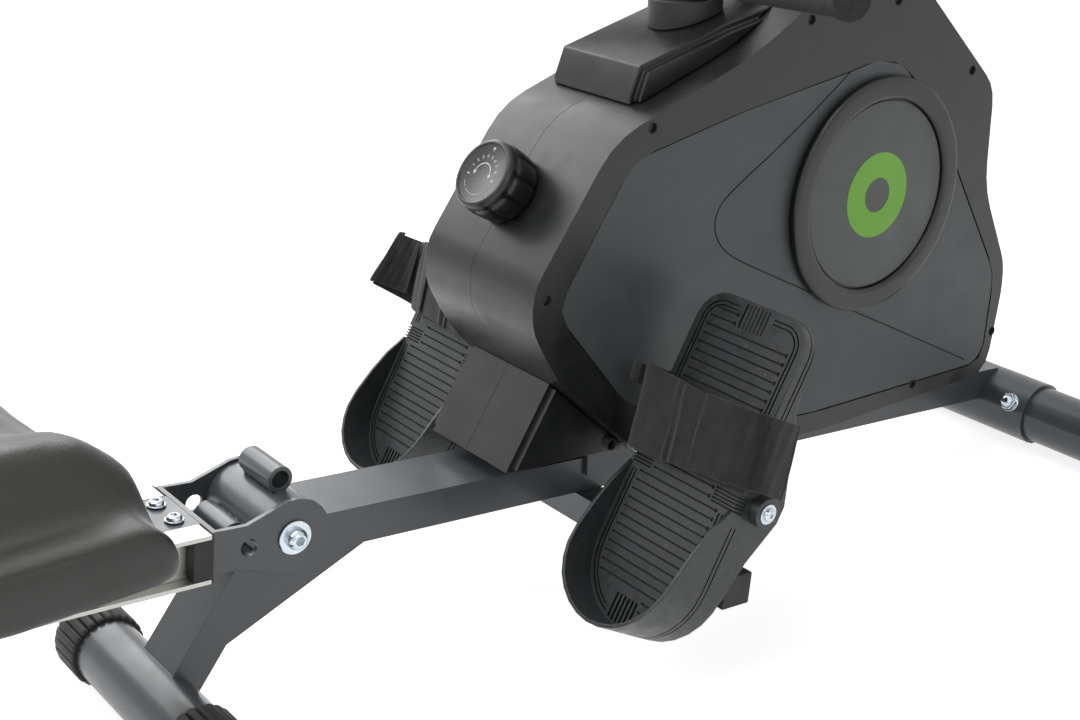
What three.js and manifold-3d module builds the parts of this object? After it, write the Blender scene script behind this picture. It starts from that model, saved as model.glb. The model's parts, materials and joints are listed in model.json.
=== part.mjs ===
// Folding rowing machine with a magnetic flywheel, modelled in millimetres with +Z up.
// The layout group has its origin on the fold pivot: +X runs forward to the housing, +Y to the left.
// The whole machine is then set down on its floor with the origin under the centre of its box.
import * as THREE from 'three';
import { mergeVertices } from 'three/addons/utils/BufferGeometryUtils.js';
import Module from 'manifold-3d';

const wasm = await Module();
wasm.setup();

// Overall layout
const pivotHeight = 156.8;
const frontAxisForward = 891.6;
const railSlope = THREE.MathUtils.degToRad(4.8);
const tubeSlope = THREE.MathUtils.degToRad(5.7);
const seatClearance = 0.3;
const runningClearance = 0.5;
const cutOverrun = 20;
const roundSides = 24;
const middleSides = 16;
const smallSides = 10;
const tubeWall = 2;

// Main frame
const mainTube = { width: 65.4, height: 32.4, topAtPivot: 5.6 };
const boss = { radius: 29, halfLength: 43.2 };
const lock = { reach: 38.8, radius: 10.8, bore: 7.3, halfLength: 24 };
const leg = { width: 51.4, depth: 30, lean: THREE.MathUtils.degToRad(38.2), rearOffset: 16.5 };
const gusset = { alongTube: 84, downLeg: 88, wall: 3 };
const centreFoot = { back: 107, radius: 27.5, wall: 2.5, halfLength: 119, capLength: 42, capRadius: 31.8 };
const frontSleeve = { radius: 33.75, wall: 3, halfLength: 91, boltOffset: 73 };
const frontTube = { wall: 2.5, halfLength: 250, capLength: 45, capRadius: 38.1 };
const footBolt = { tilt: THREE.MathUtils.degToRad(27), radius: 4, headRadius: 8, headHeight: 5.5,
  domeRadius: 7, washerRadius: 10, washer: 1.6 };
const capRibs = { count: 16, depth: 2.6, floor: 4 };
const wheel = { radius: 21, width: 16, axleRadius: 4, forward: 54, lift: 2, inset: 24, cheek: 4 };

// Pedals, their axle and the bar that they rest against
const pedal = {
  centre: 172.3, halfWidth: 60.8, length: 289, heelBack: 13, axleAlong: 126, axleDeep: 28,
  incline: THREE.MathUtils.degToRad(59.25), heelForward: 226.3, heelDown: 90.1, plate: 7, rim: 4, belly: 59,
  cupHeight: 35, cupEnd: 118, cupWall: 3.4, toeRadius: 26, hubRadius: 13, ribPitch: 9.5, grooveWidth: 2.6,
  grooveDepth: 1.4, grooveInset: 15, hubLength: 12, stopAlong: 63, stopHalf: 9, stopDepth: 46, stopWidth: 16,
};
// The lower edge of the pedal's wall: shares of its length from the heel, and of its depth at the axle
const bellyShares = [
  [0, 0.51], [0.19, 0.585], [0.325, 0.73], [0.46, 1], [0.512, 1], [0.6, 0.8], [0.782, 0.36], [0.862, 0.25],
  [1, 0.22],
];
const pedalAxle = { radius: 6, washerRadius: 8.5, washer: 1.6, headRadius: 5.8, headHeight: 5 };
const stopBar = { depth: 30, height: 28, forward: 309, halfLength: 200, plugLength: 25, plugSpigot: 18 };
const strap = { width: 67, left: 176, right: 161.5, thickness: 2.4, rise: 26, tail: 40, flap: 60, tilt: 0.28,
  drop: 16 };
const strapShares = [[-1, -0.9], [-1, 0.7], [-0.85, 0.95], [-0.4, 1], [0.4, 0.92], [0.85, 0.66], [1, 0.4],
  [1, -0.9]];

// Housing outline: the box that it fills, and its corners as shares of that box
const housing = { back: 200, low: -47, length: 606, height: 447, halfWidth: 85.2, leftHalfWidth: 66,
  wall: 3, sideWall: 5 };
const outlineShares = [
  [0.173, 0.123], [0.046, 0.29], [0.0, 0.41], [0.0033, 0.483], [0.1353, 0.728], [0.38, 0.839],
  [0.495, 0.924], [0.6, 1.0], [0.67, 1.0], [0.868, 0.749], [0.919, 0.685], [0.924, 0.459], [0.997, 0.264],
  [1.0, 0.2], [0.98, 0.0], [0.551, 0.004], [0.363, 0.045], [0.231, 0.06],
];
const panelShares = [
  [0.04, 0.43], [0.168, 0.685], [0.373, 0.738], [0.581, 0.776], [0.64, 0.79], [0.7, 0.77], [0.8, 0.62],
  [0.975, 0.245], [0.966, 0.03], [0.55, 0.05], [0.4, 0.075], [0.168, 0.205],
];
const screwShares = [
  [0.2, 0.738], [0.025, 0.459], [0.144, 0.132], [0.491, 0.89], [0.86, 0.729], [0.79, 0.034], [0.985, 0.1],
  [0.672, 0.902],
];
const panel = { thickness: 2, edge: 0.35 };
const screwHole = { radius: 4.4, depth: 3 };
const outlineRound = 26;
const panelRound = 22;
const ring = { radius: 110, inner: 88, rise: 8, disc: 4, round: 3 };
const cover = { halfWidth: 64, leftHalfWidth: 57, wall: 3, chamfer: 7 };
const coverShares = [[0.069, 0.266], [-0.007, 0.107], [0.16, 0.085], [0.25, 0.067], [0.173, 0.123]];
const ridge = { halfWidth: 56, wall: 3, chamfer: 6 };
const ridgeShares = [[0.208, 0.778], [0.224, 0.832], [0.381, 0.886], [0.462, 0.906], [0.5, 0.915]];
const strapSlot = { halfWidth: 20, height: 14, back: 20, front: 140 };
const mast = { width: 65.4, depth: 30, overWheel: 10, earRadius: 12, pinRadius: 4 };

// Places of the axles, the mast, the cradle and the handle as shares of the housing's box
const placeShares = {
  flywheel: [0.6518, 0.5078], drum: [0.3234, 0.4362], handle: [0.3795, 0.9664], mastTop: [0.6436, 1.1074],
  cradleLow: [0.3795, 0.8434], cradleHigh: [0.3795, 0.9418],
};

// Running gear inside the housing
const sidePlate = { gap: 33, thickness: 4, behindAxle: 14, edge: 13, overPin: 19 };
const sidePlateShares = [
  [0.3, 0.47], [0.36, 0.52], [0.58, 0.55], [0.7, 0.55], [0.76, 0.03],
];
const flywheel = { radius: 115, width: 16, offset: 4, rim: 22, web: 8, hubRadius: 18, axleRadius: 6 };
const smallPulley = { radius: 20, width: 12, offset: -24 };
const bigPulley = { radius: 80, web: 4, hubRadius: 14 };
const drum = { radius: 34, width: 26, flangeRadius: 48, flange: 2 };
const belt = { thickness: 1.6, width: 9 };
const magnetArm = {
  width: 20, gap: 3, thickness: 5, pinRadius: 3, pinRise: 19.4, pinAngle: THREE.MathUtils.degToRad(104.23),
  spread: THREE.MathUtils.degToRad(44),
};

// Resistance knob on the sloping rear face
const knob = {
  radius: 31, height: 36, lobes: 10, lobeDepth: 2.6, faceRadius: 26, faceStep: 0.8, edge: 1.5, along: 0.5,
  stem: 6, gap: 1, well: 13, wellDepth: 14,
};
const knobFaceShares = [[0.03, 0.53], [0.109, 0.682]];

// Handle, its cradle and the console
const handle = {
  radius: 11, grip: 14.6, gripLength: 190, half: 238, sweep: 57, lift: 18, straight: 45, plug: 4.5,
  plugRadius: 16.5,
};
const pull = { angle: THREE.MathUtils.degToRad(8), strapWidth: 30, strapThickness: 2, mastGap: 9 };
const clamp = { halfWidth: 26, radius: 19 };
const cradle = { radiusX: 36, radiusY: 28 };
const display = {
  width: 150, depth: 96, thickness: 26, round: 16, lean: THREE.MathUtils.degToRad(35), rise: 34, neck: 20,
    eye: 10,
};
const screen = { width: 96, depth: 50, thickness: 1.6, offset: 10 };
const button = { radius: 9, height: 5, travel: 1.5, back: 32, edge: 1 };

// Rail, measured in its own frame, which rises to the rear
const rail = { halfWidth: 51.5, top: 19.5, low: -20.5, start: 72, length: 1030, flange: 3.6, web: 38,
  wall: 3 };
const railGroove = { halfWidth: 29, depth: 4 };
const bracket = {
  halfWidth: 47.6, back: 70, top: 19.5, low: 15.2, eyeRadius: 31.5, neck: 41, neckTop: 18.6, neckLow: 17.2,
  holeRadius: 7.3, arcTop: THREE.MathUtils.degToRad(117.5), arcLow: THREE.MathUtils.degToRad(-129),
};
const pivotBolt = { radius: 8, headRadius: 9, headHeight: 8, washerRadius: 14, washer: 2.2 };
const tongue = {
  halfWidth: 28.4, reach: 33, boltSpread: 15.2, boltBack: 85, boltRadius: 4, boltHead: 7.6, boltDome: 4,
  boltLength: 14,
};
const buffer = { plate: 6.6, depth: 14.6, rearDepth: 22 };
const rearFoot = {
  fromEnd: 28.2, postWidth: 60, postDepth: 40, radius: 25, wall: 2.5, halfLength: 200, capLength: 38,
  capRadius: 30, plateLength: 90, plateHalf: 38, plate: 5,
};

// Seat and carriage, in the rail's frame
const roller = { radius: 15.6, width: 10, front: 168, rear: 282, axleRadius: 4, inner: 40.5, edge: 1.2 };
const carriage = {
  gap: 53, cheek: 4, front: 153, rear: 297, low: -13, high: 30, deck: 4, padFront: 166, padRear: 386,
  padHalf: 112, pad: 7, round: 14,
};
const seat = {
  front: 142, length: 262, halfWidth: 156, waist: 52, side: 88, edge: 97, valley: 104, lobe: 128,
  lobeAt: 76, drawIn: 9, shoulder: 16, around: 36, rings: 6, fall: 12,
};
const seatSquareShare = 0.42;

const colours = {
  paint: 0x3f4347, boss: 0x43484c, satin: 0x232323, panel: 0x474c50, ring: 0x2b2a29, disc: 0x5d605f,
    rubber: 0x161616,
  alloy: 0xd9dad8, zinc: 0xc9d0d6, steel: 0x9aa0a5, vinyl: 0x2b2a28, webbing: 0x1d1d1f, foam: 0x1a1a1a,
  pale: 0xa8aaa8, glass: 0x6f7c74, cast: 0x6b6b6b,
};

const finishes = {
  paint: [0.35, 0.3], satin: [0.5, 0], rubber: [0.85, 0], alloy: [0.3, 0.9], zinc: [0.25, 0.9],
    vinyl: [0.55, 0],
  cloth: [0.95, 0], glass: [0.1, 0],
};

// Geometry helpers
function bare(geometry) {
  const copy = geometry.clone();
  copy.deleteAttribute('normal');
  copy.deleteAttribute('uv');
  return mergeVertices(copy);
}

function volumeOf(geometry) {
  const p = geometry.attributes.position;
  const index = geometry.index.array;
  const a = new THREE.Vector3();
  const b = new THREE.Vector3();
  const c = new THREE.Vector3();
  let sum = 0;
  for (let i = 0; i < index.length; i += 3) {
    a.fromBufferAttribute(p, index[i]);
    b.fromBufferAttribute(p, index[i + 1]);
    c.fromBufferAttribute(p, index[i + 2]);
    sum += a.dot(b.cross(c)) / 6;
  }
  return sum;
}

function outward(geometry) {
  const g = bare(geometry);
  if (volumeOf(g) < 0) {
    const index = g.index.array;
    for (let i = 0; i < index.length; i += 3) [index[i], index[i + 1]] = [index[i + 1], index[i]];
  }
  return g;
}

function toSolid(geometry) {
  const g = outward(geometry);
  const vertProperties = new Float32Array(g.attributes.position.array);
  const triVerts = new Uint32Array(g.index.array);
  return new wasm.Manifold(new wasm.Mesh({ numProp: 3, vertProperties, triVerts }));
}

function toGeometry(solid) {
  const mesh = solid.getMesh();
  const g = new THREE.BufferGeometry();
  g.setAttribute('position', new THREE.BufferAttribute(new Float32Array(mesh.vertProperties), 3));
  g.setIndex(new THREE.BufferAttribute(new Uint32Array(mesh.triVerts), 1));
  return g;
}

function cut(geometry, ...tools) {
  return toGeometry(tools.reduce((solid, tool) => solid.subtract(toSolid(tool)), toSolid(geometry)));
}

function join(...geometries) {
  return toGeometry(geometries.map(toSolid).reduce((a, b) => a.add(b)));
}

function box(x0, x1, y0, y1, z0, z1) {
  const g = new THREE.BoxGeometry(x1 - x0, y1 - y0, z1 - z0);
  return g.translate((x0 + x1) / 2, (y0 + y1) / 2, (z0 + z1) / 2);
}

// A turned piece: profile points are [radius, height along the axis]
function turned(profile, axis, at, sides = roundSides) {
  const g = new THREE.LatheGeometry(profile.map(([r, h]) => new THREE.Vector2(r, h)), sides);
  g.applyQuaternion(new THREE.Quaternion().setFromUnitVectors(new THREE.Vector3(0, 1, 0), axis));
  return outward(g.translate(at.x, at.y, at.z));
}

const alongX = new THREE.Vector3(1, 0, 0);
const alongY = new THREE.Vector3(0, 1, 0);
const alongZ = new THREE.Vector3(0, 0, 1);
const at = (x, y, z) => new THREE.Vector3(x, y, z);

function rod(radius, from, to, axis, origin, sides = roundSides) {
  return turned([[0, from], [radius, from], [radius, to], [0, to]], axis, origin, sides);
}

function pipe(radius, bore, from, to, axis, origin, sides = roundSides) {
  const profile = [[bore, from], [radius, from], [radius, to], [bore, to], [bore, from]];
  return turned(profile, axis, origin, sides);
}

// A flat outline of [x, z] points given thickness from y0 to y1
function plateXZ(points, y0, y1, holes = []) {
  const shape = new THREE.Shape(points.map(([x, z]) => new THREE.Vector2(x, z)));
  shape.holes = holes.map((hole) => new THREE.Path(hole.map(([x, z]) => new THREE.Vector2(x, z))));
  const g = new THREE.ExtrudeGeometry(shape, { depth: y1 - y0, bevelEnabled: false });
  g.rotateX(Math.PI / 2);
  return outward(g.translate(0, y1, 0));
}

// A flat outline of [y, z] points given length from x0 to x1
function barYZ(points, x0, x1, holes = []) {
  const shape = new THREE.Shape(points.map(([y, z]) => new THREE.Vector2(y, z)));
  shape.holes = holes.map((hole) => new THREE.Path(hole.map(([y, z]) => new THREE.Vector2(y, z))));
  const g = new THREE.ExtrudeGeometry(shape, { depth: x1 - x0, bevelEnabled: false });
  g.applyMatrix4(new THREE.Matrix4().makeBasis(alongY, alongZ, alongX));
  return outward(g.translate(x0, 0, 0));
}

// A flat outline of [x, y] points given height from z0 to z1
function slabXY(points, z0, z1) {
  const shape = new THREE.Shape(points.map(([x, y]) => new THREE.Vector2(x, y)));
  const g = new THREE.ExtrudeGeometry(shape, { depth: z1 - z0, bevelEnabled: false });
  return outward(g.translate(0, 0, z0));
}

const rectangle = (a0, a1, b0, b1) => [[a0, b0], [a1, b0], [a1, b1], [a0, b1]];

function arc(cx, cy, radius, from, to, steps) {
  return Array.from({ length: steps + 1 }, (_, i) => {
    const angle = from + (to - from) * i / steps;
    return [cx + radius * Math.cos(angle), cy + radius * Math.sin(angle)];
  });
}

// Corners rounded by cutting each one back and bending a short curve through it
function softened(points, radius, steps = 3) {
  const out = [];
  points.forEach(([x, y], i) => {
    const [px, py] = points[(i + points.length - 1) % points.length];
    const [nx, ny] = points[(i + 1) % points.length];
    const before = Math.hypot(px - x, py - y);
    const after = Math.hypot(nx - x, ny - y);
    const back = Math.min(radius, before * 0.45, after * 0.45);
    const a = [x + (px - x) * back / before, y + (py - y) * back / before];
    const b = [x + (nx - x) * back / after, y + (ny - y) * back / after];
    for (let k = 0; k <= steps; k += 1) {
      const t = k / steps;
      const u = 1 - t;
      out.push([u * u * a[0] + 2 * u * t * x + t * t * b[0], u * u * a[1] + 2 * u * t * y + t * t * b[1]]);
    }
  });
  return out;
}

// An outline moved inward by the same distance on every side
function inset(points, distance) {
  const area = points.reduce((sum, [x, y], i) => {
    const [nx, ny] = points[(i + 1) % points.length];
    return sum + x * ny - nx * y;
  }, 0);
  const side = Math.sign(area) * distance;
  const normal = (a, b) => {
    const length = Math.hypot(b[0] - a[0], b[1] - a[1]);
    return [-(b[1] - a[1]) / length, (b[0] - a[0]) / length];
  };
  return points.map((p, i) => {
    const m = normal(points[(i + points.length - 1) % points.length], p);
    const n = normal(p, points[(i + 1) % points.length]);
    const grow = side / (1 + m[0] * n[0] + m[1] * n[1]);
    return [p[0] + (m[0] + n[0]) * grow, p[1] + (m[1] + n[1]) * grow];
  });
}

const inHousing = ([fx, fz]) => [housing.back + fx * housing.length, housing.low + fz * housing.height];
const placed = Object.fromEntries(Object.entries(placeShares).map(([name, share]) => {
  const [x, z] = inHousing(share);
  return [name, new THREE.Vector3(x, 0, z)];
}));
const turnAboutY = (geometry, angle) => outward(geometry.clone().rotateY(angle));
const mirrored = (geometry) => outward(geometry.clone().scale(1, -1, 1));

function piece(name, geometry, colour, finish, parent) {
  const [roughness, metalness] = finishes[finish];
  const material = new THREE.MeshStandardMaterial({ color: colours[colour], roughness, metalness });
  const mesh = new THREE.Mesh(geometry, material);
  mesh.name = name;
  mesh.geometry.computeVertexNormals();
  parent.add(mesh);
  return mesh;
}

const layout = new THREE.Group();
const railGroup = new THREE.Group();
railGroup.rotation.y = railSlope;
layout.add(railGroup);

// Where the sloping main tube is at a given distance forward
const tubeCentre = (x) => mainTube.topAtPivot - mainTube.height / 2 - x * Math.tan(tubeSlope);
const tubeLow = (x) => tubeCentre(x) - mainTube.height / 2 / Math.cos(tubeSlope);
const frontAxis = at(frontAxisForward, 0, frontTube.capRadius - pivotHeight);
const centreAxis = at(-centreFoot.back, 0, centreFoot.capRadius - pivotHeight);
const origin = at(0, 0, 0);

function tubeEnvelope(extra) {
  const half = mainTube.height / 2 + extra;
  const side = mainTube.width / 2 + extra;
  const g = box(-cutOverrun, frontAxisForward, -side, side, -half, half);
  return turnAboutY(g, tubeSlope).translate(0, 0, tubeCentre(0));
}

const footBoltAxis = at(Math.cos(footBolt.tilt), 0, -Math.sin(footBolt.tilt));
const footBoltHoles = (reach) => [frontSleeve.boltOffset, -frontSleeve.boltOffset].map((y) => rod(
  footBolt.radius + seatClearance, -reach, reach, footBoltAxis, at(frontAxis.x, y, frontAxis.z), smallSides,
));

function makeMainTube() {
  const half = mainTube.height / 2;
  const side = mainTube.width / 2;
  const outer = rectangle(-side, side, -half, half);
  const inner = rectangle(-side + tubeWall, side - tubeWall, -half + tubeWall, half - tubeWall);
  const tube = turnAboutY(barYZ(outer, 0, frontAxisForward, [inner]), tubeSlope);
  tube.translate(0, 0, tubeCentre(0));
  const nearBoss = rod(boss.radius + seatClearance, -side * 2, side * 2, alongY, origin);
  const { radius, wall, halfLength } = frontSleeve;
  const pipeOut = rod(radius, -halfLength, halfLength, alongY, frontAxis);
  const bore = rod(radius - wall, -halfLength - wall, halfLength + wall, alongY, frontAxis);
  const behind = box(-boss.radius, 0, -side * 2, side * 2, -boss.radius * 2, boss.radius * 2);
  const holes = footBoltHoles(radius * 2);
  const welded = cut(join(cut(tube, nearBoss, behind), pipeOut), bore, ...holes);
  piece('main_frame', welded, 'paint', 'paint', layout);
}

function makeBoss() {
  const bore = pivotBolt.radius + runningClearance / 4;
  const shell = pipe(boss.radius, bore, -boss.halfLength, boss.halfLength, alongY, origin);
  const lockTube = (x, z) => pipe(lock.radius, lock.bore, -lock.halfLength, lock.halfLength, alongY, at(x,
    0, z), middleSides);
  const sine = lock.reach * Math.sin(railSlope);
  const cosine = lock.reach * Math.cos(railSlope);
  const welded = join(shell, lockTube(sine, cosine), lockTube(-cosine, sine));
  piece('pivot_boss', welded, 'boss', 'paint', layout);
}

// The leg's own frame: down it runs from the boss to the centre foot
const legDown = new THREE.Vector2(-Math.sin(leg.lean), -Math.cos(leg.lean));
const legFront = new THREE.Vector2(-legDown.y, legDown.x);
const legPoint = (down, front) => [
  legDown.x * down + legFront.x * (front - leg.rearOffset),
  legDown.y * down + legFront.y * (front - leg.rearOffset),
];
const legReach = pivotHeight;

function makeLeg() {
  const outline = (extra) => [
    legPoint(0, -extra), legPoint(legReach, -extra), legPoint(legReach, leg.depth + extra),
    legPoint(0, leg.depth + extra),
  ];
  const outer = plateXZ(outline(0), -leg.width / 2, leg.width / 2);
  const inner = plateXZ(outline(-tubeWall), tubeWall - leg.width / 2, leg.width / 2 - tubeWall);
  const nearBoss = rod(boss.radius + seatClearance, -leg.width, leg.width, alongY, origin);
  const solid = cut(outer, inner, nearBoss, tubeEnvelope(seatClearance));

  const along = gusset.alongTube;
  const triangle = [
    legPoint(leg.depth / 2, leg.depth - tubeWall / 2),
    legPoint(leg.depth / 2 + gusset.downLeg, leg.depth - tubeWall / 2),
    [along, tubeLow(along) - seatClearance], [boss.radius, tubeLow(boss.radius) - seatClearance],
  ];
  const wedge = plateXZ(triangle, -leg.width / 2, leg.width / 2);
  const open = [
    legPoint(0, leg.depth - cutOverrun),
    legPoint(leg.depth / 2 + gusset.downLeg - gusset.wall * 2, leg.depth - tubeWall / 2),
    [along - gusset.wall * 2, tubeLow(along) + gusset.wall], [boss.radius, mainTube.topAtPivot],
  ];
  const hollow = plateXZ(open, gusset.wall - leg.width / 2, leg.width / 2 - gusset.wall);
  const folded = cut(wedge, hollow, nearBoss, tubeEnvelope(seatClearance));
  const { radius, wall, halfLength, capLength, capRadius } = centreFoot;
  const reach = halfLength - capRibs.floor - seatClearance;
  const foot = rod(radius, -reach, reach, alongY, centreAxis);
  const bore = rod(radius - wall, -reach - wall, reach + wall, alongY, centreAxis);
  piece('centre_leg', cut(join(solid, folded, foot), bore), 'paint', 'paint', layout);
  const cap = ribbedCap(radius, capRadius, halfLength - capLength, capLength, centreAxis);
  piece('centre_foot_cap_left', cap, 'rubber', 'rubber', layout);
  piece('centre_foot_cap_right', mirrored(cap), 'rubber', 'rubber', layout);
}

// An end cap with ribs round its rim and a closed end, over a tube of the given radius
function ribbedCap(tubeRadius, capRadius, inner, length, axisAt) {
  const step = Math.PI / 2 / capRibs.count;
  const outline = Array.from({ length: capRibs.count * 4 }, (_, i) => {
    const high = i % 4 === 0 || i % 4 === 3;
    const radius = (high ? capRadius : capRadius - capRibs.depth) / Math.cos(step / 2);
    const angle = (i - 3.5) * step - Math.PI / 2;
    return [axisAt.x + radius * Math.cos(angle), axisAt.z + radius * Math.sin(angle)];
  });
  const body = plateXZ(outline, inner, inner + length);
  const bore = rod(tubeRadius + seatClearance, inner - length, inner + length - capRibs.floor, alongY,
    at(axisAt.x, 0, axisAt.z));
  return cut(body, bore);
}

function boltThroughFoot(y) {
  const { radius, headRadius, headHeight, domeRadius, washerRadius, washer } = footBolt;
  const span = frontSleeve.radius + washer + seatClearance;
  const dome = arc(0, 0, domeRadius, -Math.PI / 2, 0, 3).slice(1).map(([x, z]) => [x,
    z - span - headHeight]);
  const profile = [
    [0, -span - headHeight - domeRadius], ...dome, [domeRadius, -span], [washerRadius, -span],
    [washerRadius, washer - span], [radius, washer - span], [radius, span - washer], [washerRadius,
      span - washer],
    [washerRadius, span], [headRadius, span], [headRadius, span + headHeight], [0, span + headHeight],
  ];
  return turned(profile, footBoltAxis, at(frontAxis.x, y, frontAxis.z), smallSides);
}

function makeFrontFoot() {
  const { radius, wall, boltOffset } = frontSleeve;
  const tubeRadius = radius - wall - seatClearance;
  const holes = footBoltHoles(radius * 2);
  const long = frontTube.halfLength - capRibs.floor - seatClearance;
  const tube = pipe(tubeRadius, tubeRadius - frontTube.wall, -long, long, alongY, frontAxis);
  piece('front_foot_tube', cut(tube, ...holes), 'paint', 'paint', layout);
  piece('front_foot_bolt_left', boltThroughFoot(boltOffset), 'zinc', 'zinc', layout);
  piece('front_foot_bolt_right', boltThroughFoot(-boltOffset), 'zinc', 'zinc', layout);

  const { capLength, halfLength } = frontTube;
  const capInner = halfLength - capLength;
  const wheelY = capInner + wheel.inset;
  const wheelAt = at(frontAxis.x + wheel.forward, 0, wheel.radius + wheel.lift - pivotHeight);
  const lugReach = wheel.axleRadius * 2.4;
  const lug = plateXZ([
    [frontAxis.x, frontAxis.z - frontTube.capRadius * 0.8], [wheelAt.x, wheelAt.z - lugReach],
    [wheelAt.x + lugReach, wheelAt.z], [wheelAt.x + lugReach * 0.6, wheelAt.z + lugReach],
    [frontAxis.x, frontAxis.z + frontTube.capRadius * 0.6],
  ], wheelY - wheel.width / 2 - wheel.cheek, wheelY + wheel.width / 2 + wheel.cheek);
  const slot = plateXZ(arc(wheelAt.x, wheelAt.z, wheel.radius + 2 * runningClearance, 0, 2 * Math.PI,
    middleSides),
    wheelY - wheel.width / 2 - runningClearance, wheelY + wheel.width / 2 + runningClearance);
  const pin = rod(wheel.axleRadius, wheelY - wheel.width / 2 - wheel.cheek,
    wheelY + wheel.width / 2 + wheel.cheek,
    alongY, at(wheelAt.x, 0, wheelAt.z), smallSides);
  const bore = rod(tubeRadius + seatClearance, capInner - capLength, halfLength - capRibs.floor, alongY,
    frontAxis);
  const cap = ribbedCap(tubeRadius, frontTube.capRadius, capInner, capLength, frontAxis);
  const forked = join(cut(join(cap, cut(lug, bore)), slot, bore), pin);
  piece('front_foot_cap_left', forked, 'rubber', 'rubber', layout);
  piece('front_foot_cap_right', mirrored(forked), 'rubber', 'rubber', layout);
  const half = wheel.width / 2;
  const tyre = turned([
    [wheel.axleRadius + runningClearance / 4, -half], [wheel.radius * 0.9, -half], [wheel.radius,
      -half * 0.6],
    [wheel.radius, half * 0.6], [wheel.radius * 0.9, half], [wheel.axleRadius + runningClearance / 4, half],
    [wheel.axleRadius + runningClearance / 4, -half],
  ], alongY, at(wheelAt.x, wheelY, wheelAt.z), middleSides);
  piece('transport_wheel_left', tyre, 'rubber', 'rubber', layout);
  piece('transport_wheel_right', mirrored(tyre), 'rubber', 'rubber', layout);
}

// The pedal's own frame: s along the sole from heel to toe, h square to it, towards the foot
const soleAlong = new THREE.Vector2(Math.cos(pedal.incline), Math.sin(pedal.incline));
const soleUp = new THREE.Vector2(-soleAlong.y, soleAlong.x);
const solePoint = (s, h) => at(
  pedal.heelForward + soleAlong.x * s + soleUp.x * h, 0, -pedal.heelDown + soleAlong.y * s + soleUp.y * h,
);
const pedalAxis = solePoint(pedal.axleAlong, -pedal.axleDeep);
const pedalEnd = pedal.centre + pedal.halfWidth + pedal.hubLength;

// A flat strip that follows a line of [a, b] points with the same thickness all along
function ribbon(points, thickness) {
  const directions = points.slice(1).map(([x, y], i) => {
    const [px, py] = points[i];
    const length = Math.hypot(x - px, y - py);
    return [(x - px) / length, (y - py) / length];
  });
  const far = points.map(([x, y], i) => {
    const [ax, ay] = directions[Math.max(i - 1, 0)];
    const [bx, by] = directions[Math.min(i, directions.length - 1)];
    const grow = thickness / (1 + ax * bx + ay * by);
    return [x - (ay + by) * grow, y + (ax + bx) * grow];
  });
  return [...points, ...far.reverse()];
}

// The stop bar lies square under the main tube
function ontoStopBar(geometry) {
  const drop = mainTube.height / 2 + stopBar.height / 2 + seatClearance;
  const moved = geometry.clone().translate(0, 0,
    -drop).applyMatrix4(new THREE.Matrix4().makeRotationY(tubeSlope));
  return outward(moved.translate(stopBar.forward, 0, tubeCentre(stopBar.forward)));
}

// From the pedal's frame (x along the sole, y across, z towards the foot) into the layout
function fromSole(geometry, side) {
  const corner = solePoint(0, 0);
  const basis = new THREE.Matrix4().makeBasis(
    at(soleAlong.x, 0, soleAlong.y), alongY, at(soleUp.x, 0, soleUp.y),
  );
  basis.setPosition(corner.x, side * pedal.centre, corner.z);
  return outward(geometry.clone().applyMatrix4(basis));
}

function soleOutline(margin) {
  const half = pedal.halfWidth - margin;
  const heel = pedal.halfWidth - pedal.heelBack;
  const toe = pedal.length - pedal.heelBack - margin;
  const bend = Math.max(pedal.toeRadius - margin, 1);
  return [
    ...arc(heel, 0, half, Math.PI / 2, Math.PI * 1.5, 14),
    ...arc(toe - bend, -half + bend, bend, -Math.PI / 2, 0, 4),
    ...arc(toe - bend, half - bend, bend, 0, Math.PI / 2, 4),
  ];
}

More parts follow.
